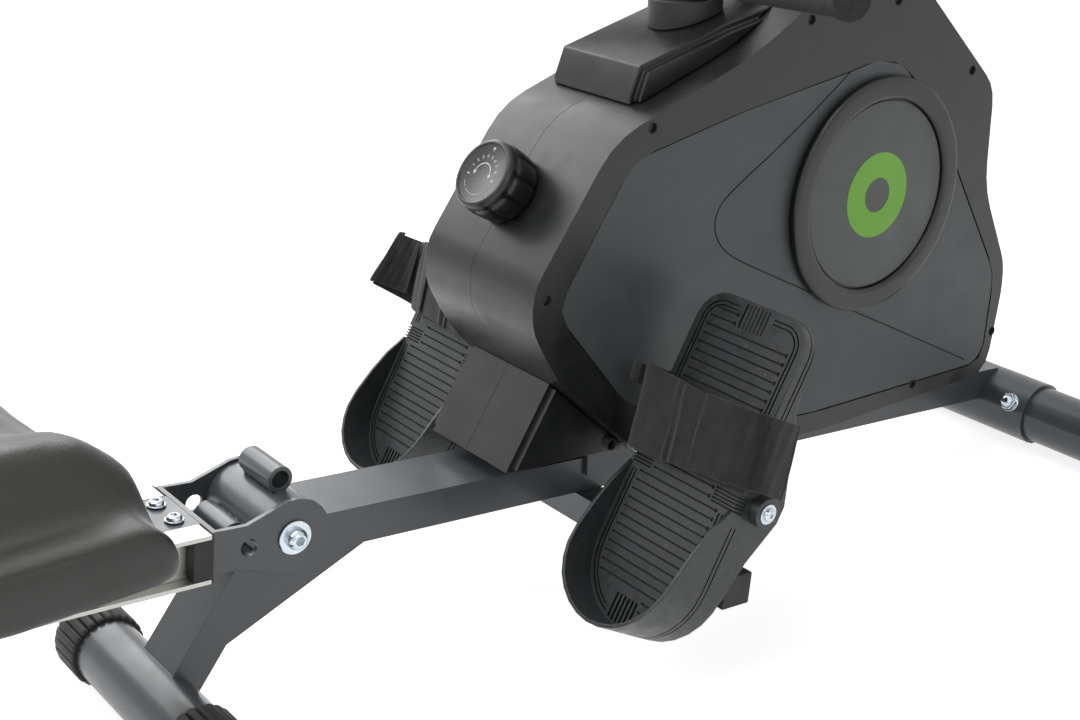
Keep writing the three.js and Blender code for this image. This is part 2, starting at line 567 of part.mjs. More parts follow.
function makePedal(side, label) {
  const { plate, rim, belly, cupHeight, cupEnd, cupWall, heelBack, halfWidth } = pedal;
  const lowEdge = bellyShares.map(([along, deep]) => [along * pedal.length - heelBack, -deep * belly]);
  const [start, end] = [-heelBack - cutOverrun, pedal.length + cutOverrun];
  const below = plateXZ([
    [start, lowEdge[0][1]], ...lowEdge, [end, lowEdge.at(-1)[1]], [end, -belly * 2], [start, -belly * 2],
  ], -halfWidth * 2, halfWidth * 2);
  const sole = cut(slabXY(soleOutline(0), -belly, 0), below);
  const under = slabXY(soleOutline(rim), -belly - cutOverrun, -plate);
  const cup = cut(slabXY(soleOutline(0), -plate, cupHeight), slabXY(soleOutline(cupWall), 0, cupHeight * 2));
  const rimLine = [[-heelBack - cutOverrun, cupHeight]];
  for (let i = 0; i <= 6; i += 1) {
    const share = i / 6;
    rimLine.push([-heelBack + (cupEnd + heelBack) * share,
      cupHeight * Math.cos(share * Math.PI / 2) ** 0.75]);
  }
  rimLine.push([pedal.length, 0], [pedal.length, cupHeight * 2], [-heelBack - cutOverrun, cupHeight * 2]);
  const above = plateXZ(rimLine, -halfWidth * 2, halfWidth * 2);
  const axleAt = at(pedal.axleAlong, 0, -pedal.axleDeep);
  const inner = rim - halfWidth;
  const outer = halfWidth + pedal.hubLength - runningClearance;
  const hub = rod(pedal.hubRadius, inner, outer, alongY, axleAt, middleSides);
  const post = box(pedal.axleAlong - pedal.hubRadius, pedal.axleAlong + pedal.hubRadius, inner,
    halfWidth - rim,
    -pedal.axleDeep, -plate / 2);
  const bore = rod(pedalAxle.radius + seatClearance, -halfWidth * 2, halfWidth * 2, alongY, axleAt,
    middleSides);
  const stop = box(pedal.stopAlong - pedal.stopHalf, pedal.stopAlong + pedal.stopHalf, -pedal.stopWidth,
    pedal.stopWidth, -pedal.stopDepth, -plate / 2);
  const grooves = [];
  const last = pedal.length - heelBack - pedal.toeRadius;
  const heelCentre = halfWidth - heelBack;
  for (let s = pedal.ribPitch; s < last; s += pedal.ribPitch * 2) {
    const room = s < heelCentre ? Math.sqrt(halfWidth ** 2 - (heelCentre - s) ** 2) : halfWidth;
    const half = room - pedal.grooveInset;
    grooves.push(box(s, s + pedal.grooveWidth, -half, half, -pedal.grooveDepth, cutOverrun));
  }
  const outerSide = side > 0 ? (g) => g : mirrored;
  const body = cut(join(cut(sole, under), cut(cup, above), outerSide(join(hub, post)), stop), bore,
    ...grooves);
  const gap = stopBar.depth / 2 + seatClearance;
  const rise = stopBar.height / 2 + seatClearance;
  const barSpace = ontoStopBar(box(-gap, gap, -pedalEnd, pedalEnd, -rise, rise));
  piece(`foot_plate_${label}`, cut(fromSole(body, side), barSpace), 'rubber', 'satin', layout);

  const edge = halfWidth + seatClearance;
  const bandLine = strapShares.map(([fy, fz]) => [fy * edge, fz > 0 ? fz * strap.rise : fz * strap.drop]);
  const along = strap[label];
  const shear = new THREE.Matrix4().set(1, 0, 0, 0, 0, 1, 0, 0, strap.tilt, 0, 1, -strap.tilt * along, 0, 0,
    0, 1);
  const [near, far] = [along - strap.width / 2, along + strap.width / 2];
  const band = barYZ(ribbon(bandLine, strap.thickness), near, far);
  const flapStart = edge + strap.thickness / 2;
  const { tail } = strap;
  const flapLine = side > 0
    ? [[edge + strap.thickness * 1.2, strap.thickness * 2], [edge + tail * 0.7, strap.flap / 2],
      [edge + tail * 1.1, strap.flap]]
    : [[flapStart, -strap.thickness], [edge + tail / 2, -strap.thickness * 2], [edge + tail * 1.1, 0]];
  const loose = barYZ(ribbon(flapLine, strap.thickness), near + strap.thickness, far - strap.thickness);
  const past = box(0, pedal.length, edge + tail, edge + tail * 2, -strap.drop * 2, strap.flap * 2);
  const tilted = outward(join(band, loose).applyMatrix4(shear));
  const hubSpace = rod(pedal.hubRadius + seatClearance, 0, pedalEnd, alongY, axleAt, middleSides);
  const whole = cut(tilted, past, hubSpace, bore);
  piece(`foot_strap_${label}`, fromSole(outerSide(whole), side), 'webbing', 'cloth', layout);
}

function makePedalAxle() {
  const { radius, washerRadius, washer, headRadius, headHeight } = pedalAxle;
  const end = pedalEnd;
  const half = [
    [radius, end], [washerRadius, end], [washerRadius, end + washer], [headRadius, end + washer],
    [headRadius * 0.75, end + washer + headHeight], [0, end + washer + headHeight],
  ];
  const profile = [...half.map(([r, h]) => [r, -h]).reverse(), ...half];
  const turnedAxle = turned(profile, alongY, at(pedalAxis.x, 0, pedalAxis.z), middleSides);
  piece('pedal_axle', turnedAxle, 'steel', 'zinc', layout);
}

function makeStopBar() {
  const { depth, height, halfLength, plugLength, plugSpigot } = stopBar;
  const outer = rectangle(-depth / 2, depth / 2, -height / 2, height / 2);
  const inner = rectangle(tubeWall - depth / 2, depth / 2 - tubeWall, tubeWall - height / 2,
    height / 2 - tubeWall);
  piece('pedal_stop_bar', ontoStopBar(plateXZ(outer, -halfLength, halfLength, [inner])), 'paint', 'paint',
    layout);
  const fit = tubeWall + seatClearance;
  const head = box(-depth / 2, depth / 2, halfLength + seatClearance, halfLength + plugLength,
    -height / 2, height / 2);
  const spigot = box(fit - depth / 2, depth / 2 - fit, halfLength - plugSpigot, halfLength + plugLength / 2,
    fit - height / 2, height / 2 - fit);
  const plug = join(head, spigot);
  piece('stop_bar_plug_left', ontoStopBar(plug), 'rubber', 'rubber', layout);
  piece('stop_bar_plug_right', ontoStopBar(mirrored(plug)), 'rubber', 'rubber', layout);
}

const outline = outlineShares.map(inHousing);
const shellOutline = softened(outline, outlineRound, 3);

// The sloping rear face that the knob turns on
const faceLow = new THREE.Vector2(...inHousing(knobFaceShares[0]));
const faceHigh = new THREE.Vector2(...inHousing(knobFaceShares[1]));
const faceAt = faceLow.clone().lerp(faceHigh, knob.along);
const faceDirection = faceHigh.clone().sub(faceLow).normalize();
const knobAxis = at(-faceDirection.y, 0, faceDirection.x);
const knobBase = at(faceAt.x, 0, faceAt.y);

// The magnet arm hangs on a pin above the rim of the flywheel
const pinReach = flywheel.radius + magnetArm.gap + magnetArm.thickness + magnetArm.pinRise;
const magnetPin = at(
  placed.flywheel.x + pinReach * Math.cos(magnetArm.pinAngle), 0,
  placed.flywheel.z + pinReach * Math.sin(magnetArm.pinAngle),
);

// The side plates stand on the main tube, reach back past the pedal axle and up to the mast
function sidePlateOutline() {
  const points = sidePlateShares.map(inHousing);
  const back = pedalAxis.x - sidePlate.behindAxle;
  const front = points.at(-1)[0];
  const top = magnetPin.z + sidePlate.overPin;
  return [
    [back, tubeCentre(back)], [back, pedalAxis.z + sidePlate.behindAxle], ...points.slice(0, -2),
    [magnetPin.x - sidePlate.edge, top], [placed.mastTop.x + mast.depth / 2 + sidePlate.edge, top],
    points.at(-2), [front, tubeCentre(front)],
  ];
}

// What passes through the shells: the pedal axle, the pull strap and the console mast
function shellCuts() {
  const wide = housing.halfWidth * 2;
  const axle = rod(pedalAxle.radius + runningClearance * 4, -wide, wide, alongY, at(pedalAxis.x, 0,
    pedalAxis.z),
    middleSides);
  const slot = box(strapSlot.back, strapSlot.front, -strapSlot.halfWidth, strapSlot.halfWidth,
    -strapSlot.height / 2, strapSlot.height / 2).applyMatrix4(new THREE.Matrix4().makeRotationY(pull.angle));
  slot.translate(placed.handle.x, 0, placed.handle.z);
  const half = mast.depth / 2 + runningClearance;
  const side = mast.width / 2 + runningClearance;
  const { x, z: high } = placed.mastTop;
  const mastHole = box(x - half, x + half, -side, side, placed.flywheel.z, high + cutOverrun);
  const stem = rod(knob.stem + runningClearance, -cutOverrun, cutOverrun, knobAxis, knobBase, smallSides);
  const span = sidePlateOutline();
  const reach = sidePlate.gap + sidePlate.thickness + runningClearance;
  const plates = box(span[0][0] - runningClearance, span.at(-1)[0] + runningClearance, -reach, reach,
    -pivotHeight, span[1][1] + housing.wall * 3);
  return { axle, slot, mastHole, stem, plates };
}

function makeHousing(label, halfWidth, sided) {
  const { wall, sideWall } = housing;
  const outer = plateXZ(shellOutline, seatClearance / 2, halfWidth);
  const inner = plateXZ(inset(shellOutline, wall), -cutOverrun, halfWidth - sideWall);
  const panelOutline = softened(panelShares.map(inHousing), panelRound, 2);
  const recess = plateXZ(panelOutline, halfWidth - panel.thickness - seatClearance, halfWidth + cutOverrun);
  const holes = screwShares.map(inHousing).map(([x, z]) => rod(screwHole.radius, halfWidth - screwHole.depth,
    halfWidth + cutOverrun, alongY, at(x, 0, z), smallSides));
  const { axle, slot, mastHole, stem, plates } = shellCuts();
  const shell = cut(outer, inner, recess, tubeEnvelope(runningClearance * 2), plates, ...holes, axle, slot,
    mastHole, stem);
  piece(`housing_${label}`, sided(shell), 'satin', 'satin', layout);

  const plate = plateXZ(inset(panelOutline, panel.edge), halfWidth - panel.thickness, halfWidth);
  piece(`side_panel_${label}`, sided(plate), 'panel', 'satin', layout);
  const base = halfWidth + seatClearance;
  const profile = [
    [0, base], [ring.radius, base], [ring.radius, base + ring.rise - ring.round],
    [ring.radius - ring.round, base + ring.rise], [ring.inner + ring.round, base + ring.rise],
    [ring.inner, base + ring.rise - ring.round], [ring.inner, base + ring.disc], [0, base + ring.disc],
  ];
  const bezel = turned(profile, alongY, placed.flywheel, roundSides * 1.5);
  piece(`ring_cover_${label}`, sided(bezel), 'ring', 'satin', layout);
}

function makeFrameCover(label, halfWidth, sided) {
  const points = coverShares.map(inHousing);
  const { wall, chamfer } = cover;
  const wide = plateXZ(points, seatClearance / 2, halfWidth - chamfer);
  const narrow = plateXZ(inset(points, chamfer / 2), seatClearance / 2, halfWidth);
  const hollow = plateXZ(inset(points, wall), -cutOverrun, halfWidth - chamfer - wall);
  const shellSpace = plateXZ(inset(shellOutline, -seatClearance), -cutOverrun, housing.halfWidth);
  const { axle, plates } = shellCuts();
  const ahead = box(pedalAxis.x, housing.back + housing.length, -halfWidth * 2, halfWidth * 2, -pivotHeight,
    housing.height);
  const half = cut(join(wide, narrow), hollow, shellSpace, tubeEnvelope(runningClearance * 2), axle, plates,
    ahead);
  piece(`frame_cover_${label}`, sided(half), 'satin', 'satin', layout);
}

function makeTopCover() {
  const { halfWidth, wall, chamfer } = ridge;
  const top = ridgeShares.map(inHousing);
  const [back, front] = [top[0][0], top.at(-1)[0]];
  const low = housing.low + housing.height / 2;
  const points = [...top, [front, low], [back, low]];
  const wide = plateXZ(inset(points, chamfer), -halfWidth, halfWidth);
  const narrow = plateXZ(points, chamfer - halfWidth, halfWidth - chamfer);
  const hollow = plateXZ(inset(points, wall + chamfer), wall - halfWidth, halfWidth - wall);
  const shellSpace = plateXZ(inset(shellOutline, -seatClearance), -halfWidth * 2, halfWidth * 2);
  const below = box(back - cutOverrun, front + cutOverrun, -halfWidth * 2, halfWidth * 2, low - cutOverrun,
    low + wall * 4 + chamfer * 2);
  const body = cut(join(wide, narrow), hollow, shellSpace, below, shellCuts().slot);
  piece('top_cover', body, 'satin', 'satin', layout);
}

function makeRunningGear() {
  const axleAt = placed.flywheel;
  const drumAt = placed.drum;
  const reach = sidePlate.gap + sidePlate.thickness;
  const axleHole = rod(pedalAxle.radius + runningClearance, -reach * 2, reach * 2, alongY, pedalAxis,
    middleSides);
  const plate = cut(plateXZ(sidePlateOutline(), sidePlate.gap, reach), axleHole);
  const nut = flywheel.axleRadius * 1.7;
  const axle = (where) => join(
    rod(flywheel.axleRadius, -reach - nut, reach + nut, alongY, where, smallSides),
    rod(nut, reach - sidePlate.thickness / 2, reach + nut, alongY, where, 6),
    rod(nut, -reach - nut, sidePlate.thickness / 2 - reach, alongY, where, 6),
  );
  const pin = rod(magnetArm.pinRadius, -reach, reach, alongY, magnetPin, smallSides);
  const frame = join(plate, mirrored(plate), axle(axleAt), axle(drumAt), pin, mastSolid());
  piece('gear_frame', frame, 'paint', 'paint', layout);

  const run = flywheel.axleRadius + runningClearance / 4;
  const { radius, width, offset, rim, web, hubRadius } = flywheel;
  const half = width / 2;
  const pulleyLow = smallPulley.offset - smallPulley.width / 2;
  const wheelProfile = [
    [run, pulleyLow], [smallPulley.radius, pulleyLow], [smallPulley.radius, pulleyLow + smallPulley.width],
    [hubRadius, pulleyLow + smallPulley.width], [hubRadius, offset - web / 2], [radius - rim,
      offset - web / 2],
    [radius - rim, offset - half], [radius, offset - half], [radius, offset + half], [radius - rim,
      offset + half],
    [radius - rim, offset + web / 2], [hubRadius, offset + web / 2], [hubRadius,
      sidePlate.gap - 2 * runningClearance],
    [run, sidePlate.gap - 2 * runningClearance], [run, pulleyLow],
  ];
  piece('flywheel', turned(wheelProfile, alongY, axleAt), 'cast', 'paint', layout);

  const bigProfile = [
    [run, pulleyLow], [bigPulley.radius, pulleyLow], [bigPulley.radius, pulleyLow + smallPulley.width],
    [bigPulley.radius - bigPulley.web * 2, pulleyLow + smallPulley.width],
    [bigPulley.radius - bigPulley.web * 2, pulleyLow + bigPulley.web], [bigPulley.hubRadius,
      pulleyLow + bigPulley.web],
    [bigPulley.hubRadius, pulleyLow + smallPulley.width], [run, pulleyLow + smallPulley.width], [run,
      pulleyLow],
  ];
  piece('drive_pulley', turned(bigProfile, alongY, drumAt), 'rubber', 'satin', layout);
  const drumLow = pulleyLow + smallPulley.width + 2 * runningClearance;
  const drumHigh = drumLow + drum.width;
  const drumProfile = [
    [run, drumLow], [drum.flangeRadius, drumLow], [drum.flangeRadius, drumLow + drum.flange],
    [drum.radius, drumLow + drum.flange], [drum.radius, drumHigh - drum.flange],
    [drum.flangeRadius, drumHigh - drum.flange], [drum.flangeRadius, drumHigh], [run, drumHigh], [run,
      drumLow],
  ];
  piece('strap_drum', turned(drumProfile, alongY, drumAt, middleSides), 'rubber', 'satin', layout);

  const beltLoop = (extra) => {
    const dx = axleAt.x - drumAt.x;
    const dz = axleAt.z - drumAt.z;
    const tilt = Math.atan2(dz, dx);
    const spread = Math.acos((bigPulley.radius - smallPulley.radius) / Math.hypot(dx, dz));
    return [
      ...arc(axleAt.x, axleAt.z, smallPulley.radius + extra, tilt - spread, tilt + spread, 8),
      ...arc(drumAt.x, drumAt.z, bigPulley.radius + extra, tilt + spread, tilt + 2 * Math.PI - spread, 28),
    ];
  };
  const inside = beltLoop(seatClearance);
  const outside = beltLoop(seatClearance + belt.thickness);
  const loop = plateXZ(outside, smallPulley.offset - belt.width / 2, smallPulley.offset + belt.width / 2,
    [inside]);
  piece('drive_belt', loop, 'rubber', 'rubber', layout);

  const inner = radius + magnetArm.gap;
  const { pinRadius, spread } = magnetArm;
  const { pinAngle } = magnetArm;
  const shoe = [
    ...arc(axleAt.x, axleAt.z, inner + magnetArm.thickness, pinAngle, pinAngle + spread, 8),
    ...arc(axleAt.x, axleAt.z, inner, pinAngle + spread, pinAngle, 8),
  ];
  const armHalf = magnetArm.width / 2;
  const eye = rod(pinRadius * 2.6, -armHalf, armHalf, alongY, magnetPin, smallSides);
  const eyeBore = rod(pinRadius + seatClearance, -armHalf * 2, armHalf * 2, alongY, magnetPin, smallSides);
  const armLink = plateXZ([
    [magnetPin.x - pinRadius * 2, magnetPin.z + pinRadius],
    [magnetPin.x - pinRadius * 2, magnetPin.z - pinRadius * 2], shoe.at(-1), shoe[0],
    [magnetPin.x + pinRadius * 2, magnetPin.z],
  ], -armHalf, armHalf);
  const rimSpace = rod(inner - runningClearance, -magnetArm.width, magnetArm.width, alongY, axleAt,
    roundSides * 3);
  const arm = cut(join(plateXZ(shoe, -armHalf, armHalf), eye, armLink), eyeBore, rimSpace);
  piece('magnet_arm', arm.translate(0, offset, 0), 'steel', 'zinc', layout);
}

function makeKnob() {
  const turn = new THREE.Quaternion().setFromUnitVectors(alongZ, knobAxis);
  const { radius, lobes, lobeDepth, height, faceRadius, faceStep, edge, stem, gap, well, wellDepth } = knob;
  const skirt = Array.from({ length: lobes * 4 }, (_, i) => {
    const angle = i * Math.PI / 2 / lobes;
    const reach = radius - lobeDepth * (i % 4 === 0 ? 1 : i % 2 ? 0.35 : 0);
    return [reach * Math.cos(angle), reach * Math.sin(angle)];
  });
  const high = gap + height;
  const body = slabXY(skirt, gap, high - lobeDepth * 3);
  const crown = turned([
    [0, gap + height / 2], [radius - lobeDepth * 1.2, gap + height / 2],
    [radius - lobeDepth, high - lobeDepth * 2.5], [radius - lobeDepth * 1.3, high - lobeDepth],
    [faceRadius + edge, high], [faceRadius, high], [faceRadius, high - faceStep], [0, high - faceStep],
  ], alongZ, origin, lobes * 2);
  const hollow = rod(well, -gap, gap + wellDepth, alongZ, origin, middleSides);
  const shaft = rod(stem, -housing.wall - gap, gap + wellDepth * 1.2, alongZ, origin, smallSides);
  const shape = join(cut(join(body, crown), hollow), shaft).applyQuaternion(turn);
  piece('resistance_knob', outward(shape.translate(knobBase.x, 0, knobBase.z)), 'satin', 'satin', layout);
}

const consolePin = at(placed.mastTop.x, 0, placed.mastTop.z + mast.earRadius);

// The mast stands between the side plates and carries the console on a cross pin
function mastSolid() {
  const half = mast.depth / 2;
  const side = mast.width / 2;
  const root = sidePlate.gap + sidePlate.thickness / 2;
  const { x, z: high } = placed.mastTop;
  const low = placed.flywheel.z + flywheel.radius + mast.overWheel;
  const { earRadius, pinRadius } = mast;
  const wide = box(x - half, x + half, -root, root, low, low + mast.depth);
  const post = box(x - half, x + half, -side, side, low, high);
  const bore = box(x - half + tubeWall, x + half - tubeWall, tubeWall - side, side - tubeWall, low - tubeWall,
    high + tubeWall);
  const ear = join(
    rod(earRadius, side - tubeWall, side, alongY, consolePin, middleSides),
    box(x - earRadius, x + earRadius, side - tubeWall, side, high - earRadius, high + earRadius),
  );
  const pin = rod(pinRadius, tubeWall / 2 - side, side - tubeWall / 2, alongY, consolePin, smallSides);
  return toGeometry(toSolid(cut(join(wide, post), bore)).add(toSolid(join(ear, mirrored(ear), pin))));
}

function makeCradle() {
  const { radiusX, radiusY } = cradle;
  const [middle, high] = [placed.handle, placed.cradleHigh.z];
  const oval = arc(0, 0, 1, 0, 2 * Math.PI, 24).slice(0, -1)
    .map(([x, y]) => [middle.x + x * radiusX, y * radiusY]);
  const post = slabXY(oval, placed.cradleLow.z, high);
  const clampSpace = rod(clamp.radius + seatClearance, -radiusY * 2, radiusY * 2, alongY, middle);
  const bed = middle.z - clamp.radius - seatClearance;
  const wayOut = box(middle.x - radiusX * 2, middle.x, -radiusY * 2, radiusY * 2, bed, high + cutOverrun);
  const points = ridgeShares.map(inHousing);
  const ridgeTop = plateXZ(inset([...points, [points.at(-1)[0], 0], [points[0][0], 0]], -seatClearance),
    -housing.halfWidth, housing.halfWidth);
  piece('handle_cradle', cut(post, clampSpace, wayOut, ridgeTop), 'rubber', 'satin', layout);
}

function makeHandle() {
  const { radius, half, sweep, lift, straight, grip, plug, plugRadius } = handle;
  const { x: forward, z: up } = placed.handle;
  const points = [-1, 1].flatMap((side) => {
    const list = [
      at(forward, side * straight / 2, up), at(forward, side * straight, up),
      at(forward - sweep * 0.3, side * (straight + (half - straight) * 0.35), up + lift * 0.3),
      at(forward - sweep, side * half, up + lift),
    ];
    return side < 0 ? list.reverse() : list;
  });
  const route = new THREE.CatmullRomCurve3(points);
  const tubeAlong = (r, bore, from, to, steps) => {
    const span = Array.from({ length: steps + 1 }, (_,
      i) => route.getPointAt(from + (to - from) * i / steps));
    const circle = (q) => arc(0, 0, q, 0, 2 * Math.PI, 12).slice(0, -1).map(([x,
      y]) => new THREE.Vector2(x, y));
    const section = new THREE.Shape(circle(r));
    if (bore > 0) section.holes = [new THREE.Path(circle(bore))];
    const path = new THREE.CatmullRomCurve3(span);
    return outward(new THREE.ExtrudeGeometry(section, { steps, extrudePath: path, bevelEnabled: false }));
  };
  const gripShare = handle.gripLength / route.getLength();
  const shaft = rod(clamp.radius, -clamp.halfWidth, clamp.halfWidth, alongY, at(forward, 0, up));
  const bar = join(tubeAlong(radius, 0, 0, 1, 16), shaft);
  piece('handle_bar', bar, 'rubber', 'paint', layout);
  const bore = radius + seatClearance * 3;
  const plugAt = (u, sign) => {
    const axis = route.getTangentAt(u).multiplyScalar(sign);
    const from = seatClearance - plug;
    const profile = [
      [bore, from], [plugRadius, from], [plugRadius, plug / 2], [grip, plug], [0, plug], [0, seatClearance],
      [bore, seatClearance], [bore, from],
    ];
    return turned(profile, axis, route.getPointAt(u), 12);
  };
  const grips = (from, to, end) => join(tubeAlong(grip, bore, from, to, 7), plugAt(end, end * 2 - 1));
  piece('handle_grip_left', grips(1 - gripShare, 1, 1), 'foam', 'rubber', layout);
  piece('handle_grip_right', grips(0, gripShare, 0), 'foam', 'rubber', layout);
  const start = clamp.radius + seatClearance;
  const end = (placed.mastTop.x - mast.depth / 2 - pull.mastGap - forward) / Math.cos(pull.angle);
  const web = box(start, end, -pull.strapWidth / 2, pull.strapWidth / 2, -pull.strapThickness / 2,
    pull.strapThickness / 2);
  web.applyMatrix4(new THREE.Matrix4().makeRotationY(pull.angle)).translate(forward, 0, up);
  piece('pull_strap', outward(web), 'webbing', 'cloth', layout);
}

function makeConsole() {
  const { width, depth, thickness, round, lean, rise, neck, eye } = display;
  const corners = rectangle(-depth / 2, depth / 2, -width / 2, width / 2);
  const tilt = new THREE.Matrix4().makeRotationY(-lean);
  const place = (g) => outward(g.clone().translate(0, 0, rise).applyMatrix4(tilt)
    .translate(consolePin.x, 0, consolePin.z));
  const half = thickness / 2;
  const recess = box(screen.offset - screen.depth / 2 - seatClearance,
    screen.offset + screen.depth / 2 + seatClearance,
    -screen.width / 2 - seatClearance, screen.width / 2 + seatClearance,
    half - screen.thickness - seatClearance, thickness);
  const buttonAt = at(-button.back, 0, 0);
  const well = rod(button.radius + seatClearance, half - button.height, thickness, alongZ, buttonAt,
    middleSides);
  const link = box(-eye, eye, -neck / 2, neck / 2, -rise, -half / 2);
  const knuckle = rod(eye, -neck / 2, neck / 2, alongY, at(0, 0, -rise), middleSides);
  const bore = rod(mast.pinRadius + seatClearance, -neck, neck, alongY, at(0, 0, -rise), smallSides);
  const body = cut(join(slabXY(softened(corners, round, 4), -half, half), link, knuckle), recess, well,
    bore);
  piece('console_case', place(body), 'satin', 'satin', layout);
  const glass = box(screen.offset - screen.depth / 2, screen.offset + screen.depth / 2, -screen.width / 2,
    screen.width / 2, half - screen.thickness, half);
  piece('console_screen', place(glass), 'glass', 'glass', layout);
  const low = half - button.height + button.travel + seatClearance;
  const cap = turned([
    [0, low], [button.radius, low], [button.radius, low + button.height - button.edge],
    [button.radius - button.edge, low + button.height], [0, low + button.height],
  ], alongZ, buttonAt, middleSides);
  piece('console_button', place(cap), 'pale', 'satin', layout);
}

function makeRail() {
  const { halfWidth, top, low, start, length, flange, web, wall } = rail;
  const corner = wall * 0.6;
  const grooveFloor = top - railGroove.depth;
  const half = [
    [halfWidth, low], [halfWidth, low + flange], [web + corner, low + flange], [web, low + flange + corner],
    [web, top - flange - corner], [web + corner, top - flange], [halfWidth, top - flange], [halfWidth, top],
    [railGroove.halfWidth, top], [railGroove.halfWidth, grooveFloor],
  ];
  const section = [...half, ...half.map(([y, z]) => [-y, z]).reverse()];
  const hollow = rectangle(wall - web, web - wall, low + wall, grooveFloor - wall);
  const boltHoles = [tongue.boltSpread, -tongue.boltSpread].map((y) => rod(tongue.boltRadius + seatClearance,
    grooveFloor - wall * 2, top + wall, alongZ, at(-tongue.boltBack, y, 0), smallSides));
  const body = cut(barYZ(section, -start - length, -start, [hollow]), ...boltHoles);
  piece('rail', body, 'alloy', 'alloy', railGroup);

  const plateFrom = bracket.back + seatClearance;
  const channelLow = low + flange + seatClearance;
  const channelHigh = top - flange - seatClearance;
  const edge = halfWidth - seatClearance;
  const inner = web + corner + seatClearance;
  const plate = box(seatClearance - start, -plateFrom, -edge, edge, low, grooveFloor);
  const block = box(-start - buffer.depth, -plateFrom, inner, edge, channelLow, channelHigh);
  const lip = box(seatClearance - start, -plateFrom, tongue.halfWidth + seatClearance, edge,
    grooveFloor - wall, top);
  const front = join(plate, lip, mirrored(lip), block, mirrored(block));
  const end = start + length;
  const capPlate = box(-end - buffer.plate, -end - seatClearance, -halfWidth, halfWidth, low, top);
  const rearBlock = box(-end - buffer.plate / 2, buffer.rearDepth - end, inner, edge, channelLow,
    channelHigh);
  const rear = join(capPlate, rearBlock, mirrored(rearBlock));
  piece('rail_front_buffer', front, 'rubber', 'rubber', railGroup);
  piece('rail_rear_stop', rear, 'rubber', 'rubber', railGroup);
}

function makeBracket() {
  const { halfWidth, back, top, low, eyeRadius, neck, neckTop, neckLow } = bracket;
  const inside = boss.halfLength + seatClearance;
  const outlineEar = [
    [-back, top], [-neck, neckTop], ...arc(0, 0, eyeRadius, bracket.arcTop, bracket.arcLow, 16),
    [-neck, -neckLow], [-back, -low],
  ];
  const circle = (x, r) => arc(x, 0, r, 0, 2 * Math.PI, middleSides).slice(0, -1);
  const boltHole = circle(0, pivotBolt.radius + seatClearance / 2);
  const lockHole = circle(-lock.reach, bracket.holeRadius);
  const ear = plateXZ(outlineEar, inside, halfWidth, [boltHole, lockHole]);
  const plate = box(-back, halfWidth - inside - back, -halfWidth, halfWidth, -low, top);
  const floor = rail.top - railGroove.depth + seatClearance;
  const boltHoles = [tongue.boltSpread,
    -tongue.boltSpread].map((y) => rod(tongue.boltRadius + seatClearance, 0,
    rail.top + cutOverrun, alongZ, at(-tongue.boltBack, y, 0), smallSides));
  const lip = box(-back - tongue.reach, halfWidth - inside - back, -tongue.halfWidth, tongue.halfWidth,
    floor,
    rail.top - seatClearance);
  piece('fold_bracket', cut(join(ear, mirrored(ear), plate, lip), ...boltHoles), 'paint', 'paint',
    railGroup);

  const head = rail.top;
  const bolt = (y) => turned([
    [0, head - tongue.boltLength], [tongue.boltRadius, head - tongue.boltLength], [tongue.boltRadius, head],
    [tongue.boltHead, head], [tongue.boltHead * 0.85, head + tongue.boltDome * 0.7],
    [tongue.boltHead / 2, head + tongue.boltDome], [0, head + tongue.boltDome],
  ], alongZ, at(-tongue.boltBack, y, 0), smallSides);
  piece('tongue_bolt_left', bolt(tongue.boltSpread), 'zinc', 'zinc', railGroup);
  piece('tongue_bolt_right', bolt(-tongue.boltSpread), 'zinc', 'zinc', railGroup);

  const face = halfWidth + seatClearance;
  const outer = face + pivotBolt.washer;
  const end = outer + pivotBolt.headHeight;
  const shank = turned([
    [0, -end], [pivotBolt.headRadius, -end], [pivotBolt.headRadius, -outer], [pivotBolt.washerRadius,
      -outer],
    [pivotBolt.washerRadius, -face], [pivotBolt.radius, -face], [pivotBolt.radius, face],
    [pivotBolt.washerRadius, face], [pivotBolt.washerRadius, outer], [pivotBolt.headRadius, outer],
    [pivotBolt.headRadius, end], [0, end],
  ], alongY, origin, middleSides);
  const socket = rod(pivotBolt.headRadius / 2, end - pivotBolt.headHeight * 0.7, end * 2, alongY, origin, 6);
  piece('pivot_bolt', cut(shank, socket, mirrored(socket)), 'zinc', 'zinc', railGroup);
}

function makeRearFoot() {
  const { postWidth, postDepth, radius, wall, halfLength, capLength, capRadius } = rearFoot;
  const back = (rail.start + rail.length - rearFoot.fromEnd) * Math.cos(railSlope);
  const axis = at(-back, 0, capRadius - pivotHeight);
  const under = rail.low - seatClearance;
  const middle = -back / Math.cos(railSlope);
  const half = rearFoot.plateLength / 2;
  const flat = box(middle - half, middle + half, -rearFoot.plateHalf, rearFoot.plateHalf,
    under - rearFoot.plate, under);
  const plate = turnAboutY(flat, railSlope);
  const railSpace = turnAboutY(box(-back * 2, 0, -rail.halfWidth, rail.halfWidth, under - rearFoot.plate / 2,
    rail.top + cutOverrun * 2), railSlope);
  const post = box(axis.x - postDepth / 2, axis.x + postDepth / 2, -postWidth / 2, postWidth / 2, axis.z,
    back * Math.tan(railSlope));
  const reach = halfLength - capRibs.floor - seatClearance;
  const tube = rod(radius, -reach, reach, alongY, axis);
  const bore = rod(radius - wall, -reach - wall, reach + wall, alongY, axis);
  piece('rear_foot', cut(join(cut(post, railSpace), plate, tube), bore), 'paint', 'paint', layout);
  const cap = ribbedCap(radius, capRadius, halfLength - capLength, capLength, axis);
  piece('rear_foot_cap_left', cap, 'rubber', 'rubber', layout);
  piece('rear_foot_cap_right', mirrored(cap), 'rubber', 'rubber', layout);
}

